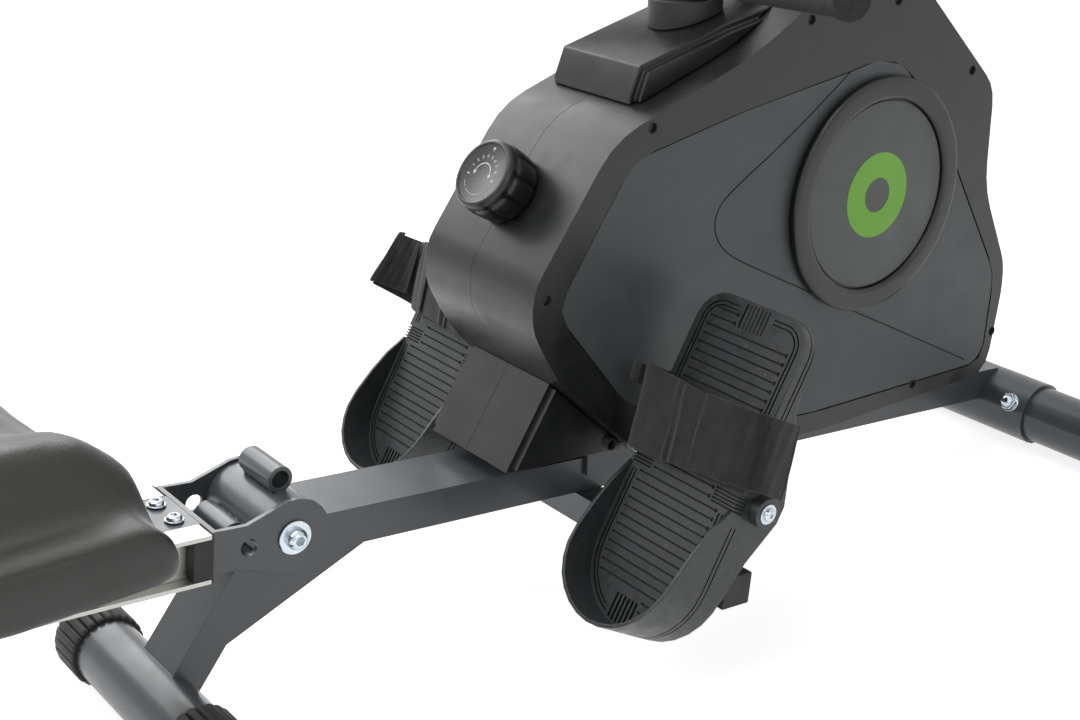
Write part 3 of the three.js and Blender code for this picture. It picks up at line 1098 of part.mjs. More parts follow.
function rollerPair(name, back) {
  const { radius, width, axleRadius, inner } = roller;
  const run = axleRadius + runningClearance / 4;
  const rim = radius - roller.edge;
  const tyre = turned([
    [run, inner], [rim, inner], [radius, inner + roller.edge], [radius, inner + width - roller.edge],
    [rim, inner + width], [run, inner + width], [run, inner],
  ], alongY, at(-back, 0, (rail.top + rail.low) / 2), middleSides);
  piece(`${name}_left`, tyre, 'rubber', 'rubber', railGroup);
  piece(`${name}_right`, mirrored(tyre), 'rubber', 'rubber', railGroup);
}

function makeCarriage() {
  const { gap, cheek, front, rear, low, high, deck, padFront, padRear, padHalf, pad, round } = carriage;
  const side = softened(rectangle(-rear, -front, low, high), round, 3);
  const wall = plateXZ(side, gap, gap + cheek);
  const middle = (rail.top + rail.low) / 2;
  const pinEnd = roller.inner + seatClearance;
  const pins = [roller.front, roller.rear].map((x) => rod(roller.axleRadius, pinEnd, gap + cheek / 2, alongY,
    at(-x, 0, middle), smallSides));
  const heads = [roller.front, roller.rear].map((x) => rod(roller.axleRadius * 1.6, gap + cheek / 2,
    gap + cheek * 1.8, alongY, at(-x, 0, middle), smallSides));
  const half = join(wall, ...pins, ...heads);
  const bridge = box(-rear, -front, -gap - cheek, gap + cheek, high - deck, high);
  const rounded = softened(rectangle(-padRear, -padFront, -padHalf, padHalf), round * 2, 3);
  const board = slabXY(rounded, high - deck / 2, high + pad);
  piece('seat_carriage', join(half, mirrored(half), bridge, board), 'steel', 'paint', railGroup);
  rollerPair('seat_roller_front', roller.front);
  rollerPair('seat_roller_rear', roller.rear);
}

// The cushion is a stack of rings from the underside out over the sides and in to the crown
function makeSeat() {
  const { front, length, halfWidth, waist, side, edge, valley, lobe, lobeAt } = seat;
  const base = carriage.high + carriage.pad + seatClearance;
  const centre = -front - length / 2;
  const plan = (angle, shrink) => {
    const c = Math.cos(angle);
    const s = Math.sin(angle);
    const x = Math.sign(c) * Math.abs(c) ** seatSquareShare * (length / 2 - shrink);
    const y = Math.sign(s) * Math.abs(s) ** seatSquareShare * (halfWidth - shrink);
    return [x, y];
  };
  const crown = (x, y) => {
    const across = Math.abs(y);
    const share = across < lobeAt ? across / lobeAt : (halfWidth - across) / (halfWidth - lobeAt);
    const wave = (1 - Math.cos(Math.PI * share)) / 2;
    const foot = across < lobeAt ? valley : edge;
    const along = Math.abs(x) / (length / 2);
    return foot + (lobe - foot) * wave - seat.fall * along ** 4;
  };
  const layers = [
    [seat.drawIn, () => base], [seat.drawIn / 3, () => base + (waist - base) * 0.8], [0,
      () => (waist + side) / 2],
    [0, () => side], [seat.shoulder / 4, (x, y) => (side + crown(x, y)) / 2],
    [seat.shoulder, (x, y) => crown(x, y) - seat.shoulder / 8],
  ];
  const positions = [];
  const ringPoints = (shrink, height, scale) => {
    for (let i = 0; i < seat.around; i += 1) {
      const [x, y] = plan(i / seat.around * 2 * Math.PI, shrink);
      positions.push(centre + x * scale, y * scale, height(x * scale, y * scale));
    }
  };
  layers.forEach(([shrink, height]) => ringPoints(shrink, height, 1));
  for (let k = 1; k < seat.rings; k += 1) ringPoints(seat.shoulder, crown, 1 - k / seat.rings);
  const topCentre = positions.length / 3;
  positions.push(centre, 0, crown(0, 0));
  positions.push(centre, 0, base);
  const index = [];
  const total = layers.length + seat.rings - 1;
  for (let k = 0; k < total - 1; k += 1) {
    for (let i = 0; i < seat.around; i += 1) {
      const next = (i + 1) % seat.around;
      const [a, b] = [k * seat.around + i, k * seat.around + next];
      index.push(a, b, b + seat.around, a, b + seat.around, a + seat.around);
    }
  }
  const lastRing = (total - 1) * seat.around;
  for (let i = 0; i < seat.around; i += 1) {
    const next = (i + 1) % seat.around;
    index.push(lastRing + i, lastRing + next, topCentre, next, i, topCentre + 1);
  }
  const g = new THREE.BufferGeometry();
  g.setAttribute('position', new THREE.Float32BufferAttribute(positions, 3));
  g.setIndex(index);
  piece('seat_cushion', outward(g), 'vinyl', 'vinyl', railGroup);
}

makeMainTube();
makeBoss();
makeLeg();
makeFrontFoot();
makePedal(1, 'left');
makePedal(-1, 'right');
makePedalAxle();
makeStopBar();
const asBuilt = (geometry) => geometry;
makeHousing('left', housing.leftHalfWidth, asBuilt);
makeHousing('right', housing.halfWidth, mirrored);
makeFrameCover('left', cover.leftHalfWidth, asBuilt);
makeFrameCover('right', cover.halfWidth, mirrored);
makeTopCover();
makeRunningGear();
makeKnob();
makeCradle();
makeHandle();
makeConsole();
makeRail();
makeBracket();
makeRearFoot();
makeCarriage();
makeSeat();

const machine = new THREE.Group();
machine.add(layout);
machine.updateMatrixWorld(true);
const bounds = new THREE.Box3().setFromObject(layout, true);
layout.position.set(-(bounds.min.x + bounds.max.x) / 2, -(bounds.min.y + bounds.max.y) / 2, -bounds.min.z);

export default machine;
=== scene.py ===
import json
from math import atan2, copysign, cos, exp, pi, radians, remainder, sin, sqrt, tan

import bmesh
import bpy
from mathutils import Matrix, Vector


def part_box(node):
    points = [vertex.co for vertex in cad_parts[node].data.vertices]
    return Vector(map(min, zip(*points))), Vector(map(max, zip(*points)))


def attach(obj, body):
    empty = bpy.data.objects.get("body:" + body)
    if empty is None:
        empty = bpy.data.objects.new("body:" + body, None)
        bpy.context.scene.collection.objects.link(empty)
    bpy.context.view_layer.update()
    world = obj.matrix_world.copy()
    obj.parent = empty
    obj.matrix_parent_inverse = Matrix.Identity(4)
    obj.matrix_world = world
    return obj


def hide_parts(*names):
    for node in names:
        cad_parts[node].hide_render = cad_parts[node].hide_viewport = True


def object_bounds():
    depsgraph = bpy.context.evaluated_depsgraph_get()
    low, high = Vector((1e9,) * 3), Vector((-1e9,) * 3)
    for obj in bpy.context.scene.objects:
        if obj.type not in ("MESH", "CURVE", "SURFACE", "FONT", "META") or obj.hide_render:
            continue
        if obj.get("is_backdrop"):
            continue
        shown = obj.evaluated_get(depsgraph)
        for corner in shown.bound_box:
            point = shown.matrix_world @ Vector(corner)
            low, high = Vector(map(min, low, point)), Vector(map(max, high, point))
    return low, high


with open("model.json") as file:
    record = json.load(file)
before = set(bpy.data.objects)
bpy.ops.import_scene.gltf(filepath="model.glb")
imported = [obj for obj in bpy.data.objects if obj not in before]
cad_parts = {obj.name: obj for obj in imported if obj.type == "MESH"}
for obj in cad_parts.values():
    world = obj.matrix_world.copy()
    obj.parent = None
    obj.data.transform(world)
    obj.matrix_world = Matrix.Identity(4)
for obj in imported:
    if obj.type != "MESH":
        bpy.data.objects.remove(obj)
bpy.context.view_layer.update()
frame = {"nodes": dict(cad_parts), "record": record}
nodes = frame["nodes"]
scene = bpy.context.scene

# The fold pivot is the origin of all millimetre numbers below
PIVOT = Vector((0.0752176, 0.0, 0.1568))
ACROSS = Vector((0, 1, 0))
FLOOR = -156.6
# The slopes of the rail and of the foot plates, and the place of a foot plate's own frame
RAIL = radians(4.8)
SOLE = radians(59.25)
SOLE_START = (226.3, -90.1)
PEDAL_MIDDLE = 172.3


def at(x, y, z):
    # A place in metres, from millimetres off the pivot
    return PIVOT + Vector((x, y, z)) / 1000


def rail_at(x, y, z):
    # The same in the rail's sloping frame
    c, s = cos(RAIL), sin(RAIL)
    return at(x * c + z * s, y, z * c - x * s)


def sole_at(s, y, h):
    # The same along a foot plate, with the height over its sole
    c, n = cos(SOLE), sin(SOLE)
    return at(SOLE_START[0] + s * c - h * n, y, SOLE_START[1] + s * n + h * c)


def srgb(code):
    out = []
    for i in (0, 2, 4):
        v = int(code[i:i + 2], 16) / 255
        out.append(v / 12.92 if v <= 0.04045 else ((v + 0.055) / 1.055) ** 2.4)
    return out


# Materials
def new_tree(owner):
    owner.use_nodes = True
    owner.node_tree.nodes.clear()
    return owner.node_tree


def add_node(tree, kind, values=None, links=None, **settings):
    # A shader node with its settings, the values of its inputs, and its links from other nodes' outputs
    made = tree.nodes.new("ShaderNode" + kind)
    for name, value in settings.items():
        setattr(made, name, value)
    for socket, value in (values or {}).items():
        made.inputs[socket].default_value = value
    for socket, output in (links or {}).items():
        tree.links.new(output, made.inputs[socket])
    return made


def surface(name, code, rough, metal=0.0, tone=0.12, tone_scale=18.0, rough_vary=0.06, grain=0.0,
            grain_scale=900.0, cells=False, swell=0.0, swell_scale=40.0, stretch=(1, 1, 1), turn=0.0,
            coat=0.0, coat_rough=0.1, sheen=0.0, weave=0.0, weave_scale=200.0, wear=None):
    # wear holds the colour of worn specks, their scale and the noise level from which they show
    material = bpy.data.materials.new(name)
    tree = new_tree(material)
    where = add_node(tree, "TexCoord").outputs["Object"]
    mapped = add_node(tree, "Mapping", {"Scale": stretch, "Rotation": (0, turn, 0)}, {0: where}).outputs[0]

    def noise(scale, detail=4.0):
        made = add_node(tree, "TexNoise", {"Scale": scale, "Detail": detail}, {"Vector": mapped})
        return made.outputs["Fac"]

    base = srgb(code)
    dim = [c * (1 - tone) for c in base] + [1]
    bright = [min(1, c * (1 + tone)) for c in base] + [1]
    colour = add_node(tree, "Mix", {6: dim, 7: bright}, {0: noise(tone_scale)}, data_type="RGBA").outputs[2]
    if wear:
        worn, worn_scale, level = wear
        speck = add_node(tree, "MapRange", {"From Min": level, "From Max": level + 0.1},
                         {0: noise(worn_scale, 6.0)}).outputs[0]
        colour = add_node(tree, "Mix", {7: srgb(worn) + [1]}, {0: speck, 6: colour},
                          data_type="RGBA").outputs[2]
    uneven = add_node(tree, "MapRange", {
        "From Min": 0.3, "From Max": 0.7, "To Min": max(0.02, rough - rough_vary),
        "To Max": min(1.0, rough + rough_vary)}, {0: noise(tone_scale * 2.3)})
    heights = []
    if cells:
        cell = add_node(tree, "TexVoronoi", {"Scale": grain_scale}, {"Vector": mapped}, feature="SMOOTH_F1")
        heights.append((cell.outputs["Distance"], -grain))
    elif grain:
        heights.append((noise(grain_scale, 2.0), grain))
    if swell:
        heights.append((noise(swell_scale, 2.0), swell))
    for direction in ("X", "Y") if weave else ():
        wave = add_node(tree, "TexWave", {"Scale": weave_scale, "Distortion": 0.6, "Detail": 1.0},
                        {"Vector": mapped}, bands_direction=direction)
        heights.append((wave.outputs["Fac"], weave))
    total = None
    for output, size in heights:
        scaled = add_node(tree, "Math", {1: size}, {0: output}, operation="MULTIPLY").outputs[0]
        total = scaled if total is None else add_node(tree, "Math", {}, {0: total, 1: scaled}).outputs[0]
    bump = add_node(tree, "Bump", {"Strength": 1.0, "Distance": 0.001}, {"Height": total})
    shader = add_node(tree, "BsdfPrincipled", {
        "Metallic": metal, "Specular IOR Level": 0.5, "Coat Weight": coat, "Coat Roughness": coat_rough,
        "Sheen Weight": sheen, "Sheen Roughness": 0.5,
    }, {"Base Color": colour, "Roughness": uneven.outputs[0], "Normal": bump.outputs[0]})
    add_node(tree, "OutputMaterial", {}, {0: shader.outputs[0]})
    return material


PAINT = surface("anthracite_paint", "4a4f53", 0.36, tone=0.05, grain=0.02, grain_scale=260, coat=0.25,
                coat_rough=0.18, swell=0.03, swell_scale=90)
SHELL = surface("moulded_shell", "191a1a", 0.34, tone=0.08, grain=0.045, grain_scale=1500, swell=0.05,
                swell_scale=12)
PANEL = surface("panel_grey", "464c4d", 0.46, tone=0.04, grain=0.05, grain_scale=1300)
BEZEL = surface("ring_black", "171615", 0.32, tone=0.06, grain=0.02, grain_scale=1300)
DISC = surface("disc_grey", "5d6160", 0.52, tone=0.03, grain=0.03, grain_scale=1300)
GREEN = surface("green_mark", "84c845", 0.45, tone=0.03, grain=0.02, grain_scale=900)
MOULD = surface("moulded_black", "191a1a", 0.44, tone=0.12, grain=0.07, grain_scale=1100)
SOLES = surface("sole_black", "303233", 0.4, tone=0.22, tone_scale=50, rough_vary=0.1, grain=0.1,
                grain_scale=850, wear=("4a4e50", 420, 0.6))
RUBBER = surface("black_rubber", "1b1b1b", 0.62, tone=0.15, grain=0.07, grain_scale=700)
TYRE = surface("wheel_rubber", "1f1f1f", 0.7, tone=0.1, grain=0.06, grain_scale=600)
ALLOY = surface("anodised_alloy", "bcbcb7", 0.36, metal=0.85, tone=0.05, stretch=(1, 30, 30), tone_scale=10,
                grain=0.03, grain_scale=90)
ZINC = surface("zinc_plate", "c3cbd2", 0.22, metal=1.0, tone=0.1, tone_scale=140, rough_vary=0.08, grain=0.02,
               grain_scale=500)
STEEL = surface("bare_steel", "8f9498", 0.38, metal=1.0, tone=0.08, tone_scale=60, grain=0.03,
                grain_scale=400)
CAST = surface("cast_iron", "5a5a5a", 0.55, metal=0.8, tone=0.15, tone_scale=120, grain=0.15, grain_scale=500)
VINYL = surface("seat_vinyl", "1f1e1c", 0.42, tone=0.06, tone_scale=9, grain=0.2, grain_scale=1200,
                cells=True, swell=0.12, swell_scale=20, coat=0.06, coat_rough=0.35)
# The webbing's wide tone (0.5) at a coarse scale paints lighter and darker patches at random: painted light
# and shade that stand in for the strap's lit and shaded parts
CLOTH = surface("strap_webbing", "121213", 0.84, tone=0.5, tone_scale=34, grain=0.35, grain_scale=1500,
                sheen=0.25, weave=0.14, weave_scale=160, turn=SOLE)
FOAM = surface("grip_foam", "1f1f1f", 0.8, tone=0.12, tone_scale=80, grain=0.4, grain_scale=1100)
PALE = surface("pale_plastic", "a3a5a3", 0.5, tone=0.04, grain=0.04, grain_scale=900)
HANDLE = surface("handle_paint", "2c2e30", 0.35, tone=0.06, grain=0.02, grain_scale=300, coat=0.2)
SCREEN = surface("screen_face", "56635c", 0.12, tone=0.05, coat=0.6, coat_rough=0.05, grain=0.01,
                 grain_scale=300)
INK = surface("dial_white", "d9dad8", 0.6, tone=0.02, grain=0.01)
# Near-black for the screw wells, darker than the shell: painted shade in the holes, and also the black of the
# screw heads
SHADE_BLACK = surface("painted_shade_black", "0c0c0c", 0.7, tone=0.1, grain=0.02)
BELT = surface("belt_rubber", "181818", 0.7, tone=0.1, grain=0.1, grain_scale=500)

LOOKS = {
    PAINT: "main_frame centre_leg front_foot_tube pedal_stop_bar gear_frame fold_bracket rear_foot "
           "pivot_boss",
    SHELL: "housing_left housing_right frame_cover_left frame_cover_right top_cover console_case",
    PANEL: "side_panel_left side_panel_right",
    BEZEL: "ring_cover_left ring_cover_right",
    MOULD: "resistance_knob handle_cradle drive_pulley strap_drum rail_rear_stop",
    SOLES: "foot_plate_left foot_plate_right",
    RUBBER: "rail_front_buffer stop_bar_plug_left stop_bar_plug_right centre_foot_cap_left "
            "centre_foot_cap_right front_foot_cap_left front_foot_cap_right rear_foot_cap_left "
            "rear_foot_cap_right seat_roller_front_left seat_roller_front_right seat_roller_rear_left "
            "seat_roller_rear_right",
    TYRE: "transport_wheel_left transport_wheel_right",
    ALLOY: "rail",
    ZINC: "tongue_bolt_left tongue_bolt_right pivot_bolt front_foot_bolt_left front_foot_bolt_right "
          "pedal_axle",
    STEEL: "seat_carriage magnet_arm",
    CAST: "flywheel",
    VINYL: "seat_cushion",
    CLOTH: "foot_strap_left foot_strap_right pull_strap",
    FOAM: "handle_grip_left handle_grip_right",
    PALE: "console_button",
    SCREEN: "console_screen",
    BELT: "drive_belt",
    HANDLE: "handle_bar",
}
look_of = {}
for material, names in LOOKS.items():
    for node_name in names.split():
        look_of[node_name] = material
        nodes[node_name].data.materials.clear()
        nodes[node_name].data.materials.append(material)
slot_of = {p["node"]: p["material_slot"] for p in frame["record"]["subparts"]}
body_of = {n: b for b, group in frame["record"]["behaviour"]["bodies"].items() for n in group}


# Geometry helpers
def put(name, verts, faces, material, body=None, stands_for=(), sharp=30, bevel=0.0, segments=2, slot=None):
    me = bpy.data.meshes.new(name)
    me.from_pydata([tuple(v) for v in verts], [], [tuple(f) for f in faces])
    bm = bmesh.new()
    bm.from_mesh(me)
    bmesh.ops.recalc_face_normals(bm, faces=bm.faces)
    bm.to_mesh(me)
    bm.free()
    me.shade_smooth()
    me.set_sharp_from_angle(angle=radians(sharp))
    me.materials.append(material)
    ob = bpy.data.objects.new(name, me)
    scene.collection.objects.link(ob)
    if bevel:
        add_bevel(ob, bevel, segments, sharp)
    if body:
        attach(ob, body)
    if stands_for:
        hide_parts(*stands_for)
    return ob


def add_bevel(ob, width, segments=2, angle=30):
    m = ob.modifiers.new("edge", "BEVEL")
    m.width = width / 1000
    m.segments = segments
    m.limit_method = "ANGLE"
    m.angle_limit = radians(angle)
    m.harden_normals = True
    return m


def plain(node):
    # A node's mesh with its flat faces whole again
    bm = bmesh.new()
    bm.from_mesh(nodes[node].data)
    bmesh.ops.remove_doubles(bm, verts=bm.verts, dist=4e-6)
    bmesh.ops.dissolve_limit(bm, angle_limit=radians(0.7), verts=bm.verts, edges=bm.edges)
    bm.verts.index_update()
    verts = [v.co.copy() for v in bm.verts]
    faces = [[v.index for v in f.verts] for f in bm.faces]
    bm.free()
    return verts, faces


def stand_in(node, suffix, shape, material, sharp, bevel=0.0, segments=2):
    # A piece that replaces a node and rides on its body
    return put(node + suffix, *shape, material, body_of[node], (node,), sharp, bevel, segments)


def refine(node, bevel, segments):
    return stand_in(node, "_fine", plain(node), look_of[node], 32, bevel, segments)


def basis(axis):
    a = Vector(axis).normalized()
    u = a.orthogonal().normalized()
    if abs(a.y) > 0.9:
        u = Vector((1, 0, 0))
    v = a.cross(u).normalized()
    return a, u, v


def lathe(profile, axis, centre, sides=48):
    a, u, v = basis(axis)
    verts, faces, rings = [], [], []
    for r, h in profile:
        if r < 1e-9:
            rings.append([len(verts)])
            verts.append(centre + a * h / 1000)
        else:
            rings.append(list(range(len(verts), len(verts) + sides)))
            for i in range(sides):
                w = 2 * pi * i / sides
                verts.append(centre + a * h / 1000 + (u * cos(w) + v * sin(w)) * r / 1000)
    for lower, upper in zip(rings, rings[1:]):
        for i in range(sides):
            j = (i + 1) % sides
            quad = [lower[i % len(lower)], lower[j % len(lower)], upper[j % len(upper)],
                    upper[i % len(upper)]]
            face = [q for k, q in enumerate(quad) if q not in quad[:k]]
            if len(face) > 2:
                faces.append(face)
    return verts, faces


def merged(*parts):
    verts, faces = [], []
    for v, f in parts:
        shift = len(verts)
        verts += list(v)
        faces += [[i + shift for i in face] for face in f]
    return verts, faces


def prism(low, high):
    n = len(low)
    faces = [list(range(n))[::-1], list(range(n, 2 * n))]
    faces += [[i, (i + 1) % n, n + (i + 1) % n, n + i] for i in range(n)]
    return list(low) + list(high), faces


def sweep(points, radius, sides=10, closed=False):
    pts = [Vector(p) for p in points]
    verts, faces, n = [], [], len(pts)
    side = None
    for i, p in enumerate(pts):
        ahead = pts[(i + 1) % n] if closed or i < n - 1 else p
        behind = pts[i - 1] if closed or i > 0 else p
        t = (ahead - behind).normalized()
        side = (side - t * side.dot(t)).normalized() if side else t.orthogonal().normalized()
        other = t.cross(side)
        r = radius(i / max(1, n - 1)) if callable(radius) else radius
        for k in range(sides):
            w = 2 * pi * k / sides
            verts.append(p + (side * cos(w) + other * sin(w)) * r / 1000)
    for i in range(n if closed else n - 1):
        j = (i + 1) % n
        for k in range(sides):
            m = (k + 1) % sides
            faces.append([i * sides + k, i * sides + m, j * sides + m, j * sides + k])
    if not closed:
        faces += [list(range(sides))[::-1], [(n - 1) * sides + k for k in range(sides)]]
    return verts, faces


def bead(points, size=1.6):
    # A weld: a thin sweep with an uneven thickness
    route = []
    for a, b in zip(points, points[1:]):
        steps = max(2, int((b - a).length / 0.0022))
        route += [a.lerp(b, i / steps) for i in range(steps)]
    route.append(points[-1])
    n = len(route)
    rough = [size * (0.8 + 0.28 * sin(i * 2.1) * sin(i * 0.73 + 1)) for i in range(n)]
    return sweep(route, lambda f: rough[int(f * (n - 1) + 0.5)], 8)


def spline(points, steps=8, closed=False):
    pts = [Vector(p) for p in points]
    n = len(pts)
    out = []
    for i in range(n if closed else n - 1):
        p0 = pts[(i - 1) % n] if closed or i > 0 else pts[0]
        p1, p2 = pts[i], pts[(i + 1) % n]
        p3 = pts[(i + 2) % n] if closed or i < n - 2 else pts[-1]
        for k in range(steps):
            t = k / steps
            out.append(0.5 * (2 * p1 + (p2 - p0) * t + (2 * p0 - 5 * p1 + 4 * p2 - p3) * t * t
                              + (3 * p1 - p0 - 3 * p2 + p3) * t ** 3))
    if not closed:
        out.append(pts[-1])
    return out


def final_mesh(ob):
    # The object's mesh with its modifiers applied
    bpy.context.view_layer.update()
    return bpy.data.meshes.new_from_object(ob.evaluated_get(bpy.context.evaluated_depsgraph_get()))


def carved(ob, *cutters):
    # The cutters are (vertices, faces); the result stays as plain mesh data
    verts, faces = merged(*cutters)
    cutter = put("cutter", verts, faces, SHADE_BLACK)
    m = ob.modifiers.new("cut", "BOOLEAN")
    m.object = cutter
    m.solver = "EXACT"
    m.use_self = True
    m.material_mode = "TRANSFER"
    rest = [x for x in ob.modifiers if x.type == "BEVEL"]
    for x in rest:
        x.show_viewport = False
    me = final_mesh(ob)
    for x in rest:
        x.show_viewport = True
    ob.modifiers.remove(m)
    ob.data = me
    bpy.data.objects.remove(cutter)
    me.set_sharp_from_angle(angle=radians(32))
    even = ob.modifiers.new("shade", "WEIGHTED_NORMAL")
    even.keep_sharp = True
    even.weight = 80
    return ob


def baked(ob):
    # Turns an object's modifiers into plain mesh data
    me = final_mesh(ob)
    ob.modifiers.clear()
    ob.data = me
    return ob


def strip(path, half, low, high, place, closed=False):
    # A flat band along a 2-D path, filling the heights from low to high
    n = len(path)
    rows = [[], [], [], []]
    verts = []
    for h, first in ((low, 0), (high, 2)):
        for k in (-1, 1):
            row = rows[first + (k + 1) // 2]
            for i, (a, b) in enumerate(path):
                fore = path[(i + 1) % n] if closed or i < n - 1 else path[i]
                rear = path[i - 1] if closed or i > 0 else path[i]
                d = Vector((fore[0] - rear[0], fore[1] - rear[1])).normalized()
                row.append(len(verts))
                verts.append(place(a - d.y * half * k, b + d.x * half * k, h))
    loop = [0, 1, 3, 2]
    faces = []
    for i in range(n if closed else n - 1):
        j = (i + 1) % n
        for p, q in zip(loop, loop[1:] + loop[:1]):
            faces.append([rows[p][i], rows[p][j], rows[q][j], rows[q][i]])
    if not closed:
        faces += [[rows[k][0] for k in loop], [rows[k][-1] for k in loop]]
    return verts, faces


def slab(points, low, high, place):
    return prism([place(a, b, low) for a, b in points], [place(a, b, high) for a, b in points])


def rounded(points, radius, steps=6):
    # A polygon with circular corners
    out, n = [], len(points)
    for i in range(n):
        before, corner, after = (Vector(points[(i + k) % n]) for k in (-1, 0, 1))
        a, b = (before - corner).normalized(), (after - corner).normalized()
        half = a.angle(b) / 2
        reach = min(radius / tan(half), (before - corner).length * 0.48, (after - corner).length * 0.48)
        r = reach * tan(half)
        middle = corner + (a + b).normalized() * r / sin(half)
        first, last = corner + a * reach - middle, corner + b * reach - middle
        start = atan2(first.y, first.x)
        turn = remainder(atan2(last.y, last.x) - start, 2 * pi)
        for k in range(steps + 1):
            w = start + turn * k / steps
            out.append((middle.x + r * cos(w), middle.y + r * sin(w)))
    return out


def inset(points, distance):
    # A closed outline moved to its inner side
    n = len(points)
    area = sum(points[i - 1][0] * points[i][1] - points[i][0] * points[i - 1][1] for i in range(n))
    side = 1 if area > 0 else -1
    out = []
    for i in range(n):
        p, q, r = (Vector(points[(i + k) % n]) for k in (-1, 0, 1))
        d1, d2 = (q - p).normalized(), (r - q).normalized()
        n1, n2 = Vector((-d1.y, d1.x)) * side, Vector((-d2.y, d2.x)) * side
        m = (n1 + n2).normalized()
        out.append(tuple(q + m * distance / max(0.3, m.dot(n1))))
    return out


def dense(points, step):
    out = []
    for i, p in enumerate(points):
        a, b = Vector(p), Vector(points[(i + 1) % len(points)])
        count = max(1, int((b - a).length / step))
        out += [tuple(a.lerp(b, k / count)) for k in range(count)]
    return out


def runs(points, keep):
    # The stretches of a closed path that pass a test
    start = next(i for i, p in enumerate(points) if not keep(p))
    found, run = [], []
    for p in points[start:] + points[:start]:
        if keep(p):
            run.append(p)
        elif run:
            found.append(run)
            run = []
    if run:
        found.append(run)
    return [r for r in found if len(r) > 2]


# Foot plates: a moulded sole with cross grooves, border grooves and ribbed patches
HALF, HEEL, TOE, TOE_ROUND = 60.8, 47.8, 276.0, 26.0
GROOVES, FIRST_GROOVE, GROOVE_PITCH = 33, 9, 7.9
GROOVE_HALF, PIT_RADIUS, GROOVE_DEPTH, RIB_DEPTH = 0.75, 1.75, 2.0, 2.2
# How far a cutter stands out of the face that it cuts
PROUD = 2


def sole_outline(d):
    r, t = HALF - d, max(TOE_ROUND - d, 1)
    toe, side = TOE - d - t, HALF - d - t
    turns = [pi / 2 * k / 10 for k in range(11)]
    pts = [(toe + t * cos(w), -side - t * sin(w)) for w in turns]
    pts += [(HEEL + r * cos(w), -r * sin(w)) for w in (pi / 2 + pi * k / 40 for k in range(41))]
    pts += [(toe + t * cos(w), side + t * sin(w)) for w in turns[::-1]]
    return pts


def keyhole(s, low, high, half, pit):
    # A cross groove from y = low to y = high, with a round pit at the low end
    around = [radians(w) for w in range(-150, 151, 25)]
    hole = [(s + pit * sin(w), low - pit * cos(w)) for w in around]
    start = sqrt(pit * pit - half * half)
    return [(s - half, low + start), *hole, (s + half, low + start), (s + half, high), (s - half, high)]


def sole_cuts(place):
    cuts = []
    for k in range(GROOVES):
        s = FIRST_GROOVE + GROOVE_PITCH * k
        room = HALF if s > HEEL else sqrt(HALF ** 2 - (HEEL - s) ** 2)
        edge = room - (27.5 if 112 < s < 136 else 15)
        if s > 247:
            spans = [(17.5, edge)]
        elif s < 18:
            spans = [(-edge, -15)]
        else:
            spans = [(-edge, edge)]
        for low, high in spans:
            if high - low > 6:
                cuts.append(slab(keyhole(s, low, high, GROOVE_HALF, PIT_RADIUS), -GROOVE_DEPTH, PROUD, place))

    def clear(p):
        # Off the ribbed patches
        s, y = p[0], abs(p[1])
        return not (113.5 < s < 133.5 and y > 30 or s > 246 and y < 18 or s < 19 and y < 15.5)

    for d in (7.2, 10.8):
        for run in runs(dense(sole_outline(d), 3), clear):
            cuts.append(strip(run, GROOVE_HALF, -GROOVE_DEPTH, PROUD, place))
    # Ribbed patches at the toe, the heel and both sides
    for k in range(7):
        y = -12.6 + 4.2 * k
        cuts.append(slab([(252, y - 1), (273, y - 1), (273, y + 1), (252, y + 1)], -RIB_DEPTH, PROUD, place))
    for k in range(6):
        y = -11.5 + 4.6 * k
        low = HEEL - sqrt((HALF - 5) ** 2 - y * y)
        cuts.append(slab([(low, y - 1.1), (15, y - 1.1), (15, y + 1.1), (low, y + 1.1)], -RIB_DEPTH, PROUD,
                         place))
    for side in (-1, 1):
        for k in range(5):
            s = 117.4 + 2.9 * k
            profile = [(62, PROUD), (62, -13), (59.4, -13), (59.4, -RIB_DEPTH), (36, -RIB_DEPTH), (36, PROUD)]
            cuts.append(prism([place(s - GROOVE_HALF, side * y, h) for y, h in profile],
                              [place(s + GROOVE_HALF, side * y, h) for y, h in profile]))

    def on_edge(p):
        # Off the side patches and the middle of the toe
        return not (108 < p[0] < 144 or p[0] > 270 and abs(p[1]) < 30)

    for h in (-8.3, -13):
        for run in runs(dense(sole_outline(0), 3), on_edge):
            cuts.append(strip(run, 1.1, h - 0.7, h + 0.7, place))
    return cuts


for label, middle in (("left", PEDAL_MIDDLE), ("right", -PEDAL_MIDDLE)):
    def on_sole(s, y, h, middle=middle):
        return sole_at(s, middle + y, h)

    node_name = "foot_plate_" + label
    verts, faces = plain(node_name)
    c, n = cos(SOLE), sin(SOLE)
    level = []
    for v in verts:
        q = (v - PIVOT) * 1000 - Vector((SOLE_START[0], middle, SOLE_START[1]))
        s, h = q.x * c + q.z * n, q.z * c - q.x * n
        level.append(on_sole(s, q.y, 0) if abs(h + 1.4) < 0.25 and abs(q.y) < 50 else v)
    plate = stand_in(node_name, "_fine", (level, faces), SOLES, 35)
    bm = bmesh.new()
    bm.from_mesh(plate.data)
    bmesh.ops.remove_doubles(bm, verts=bm.verts, dist=2e-5)
    bmesh.ops.dissolve_degenerate(bm, edges=bm.edges, dist=2e-5)
    bmesh.ops.dissolve_limit(bm, angle_limit=radians(1), verts=bm.verts, edges=bm.edges)
    bm.to_mesh(plate.data)
    bm.free()
    add_bevel(plate, 0.8, 2, 35)
    baked(plate)
    carved(plate, *sole_cuts(on_sole))


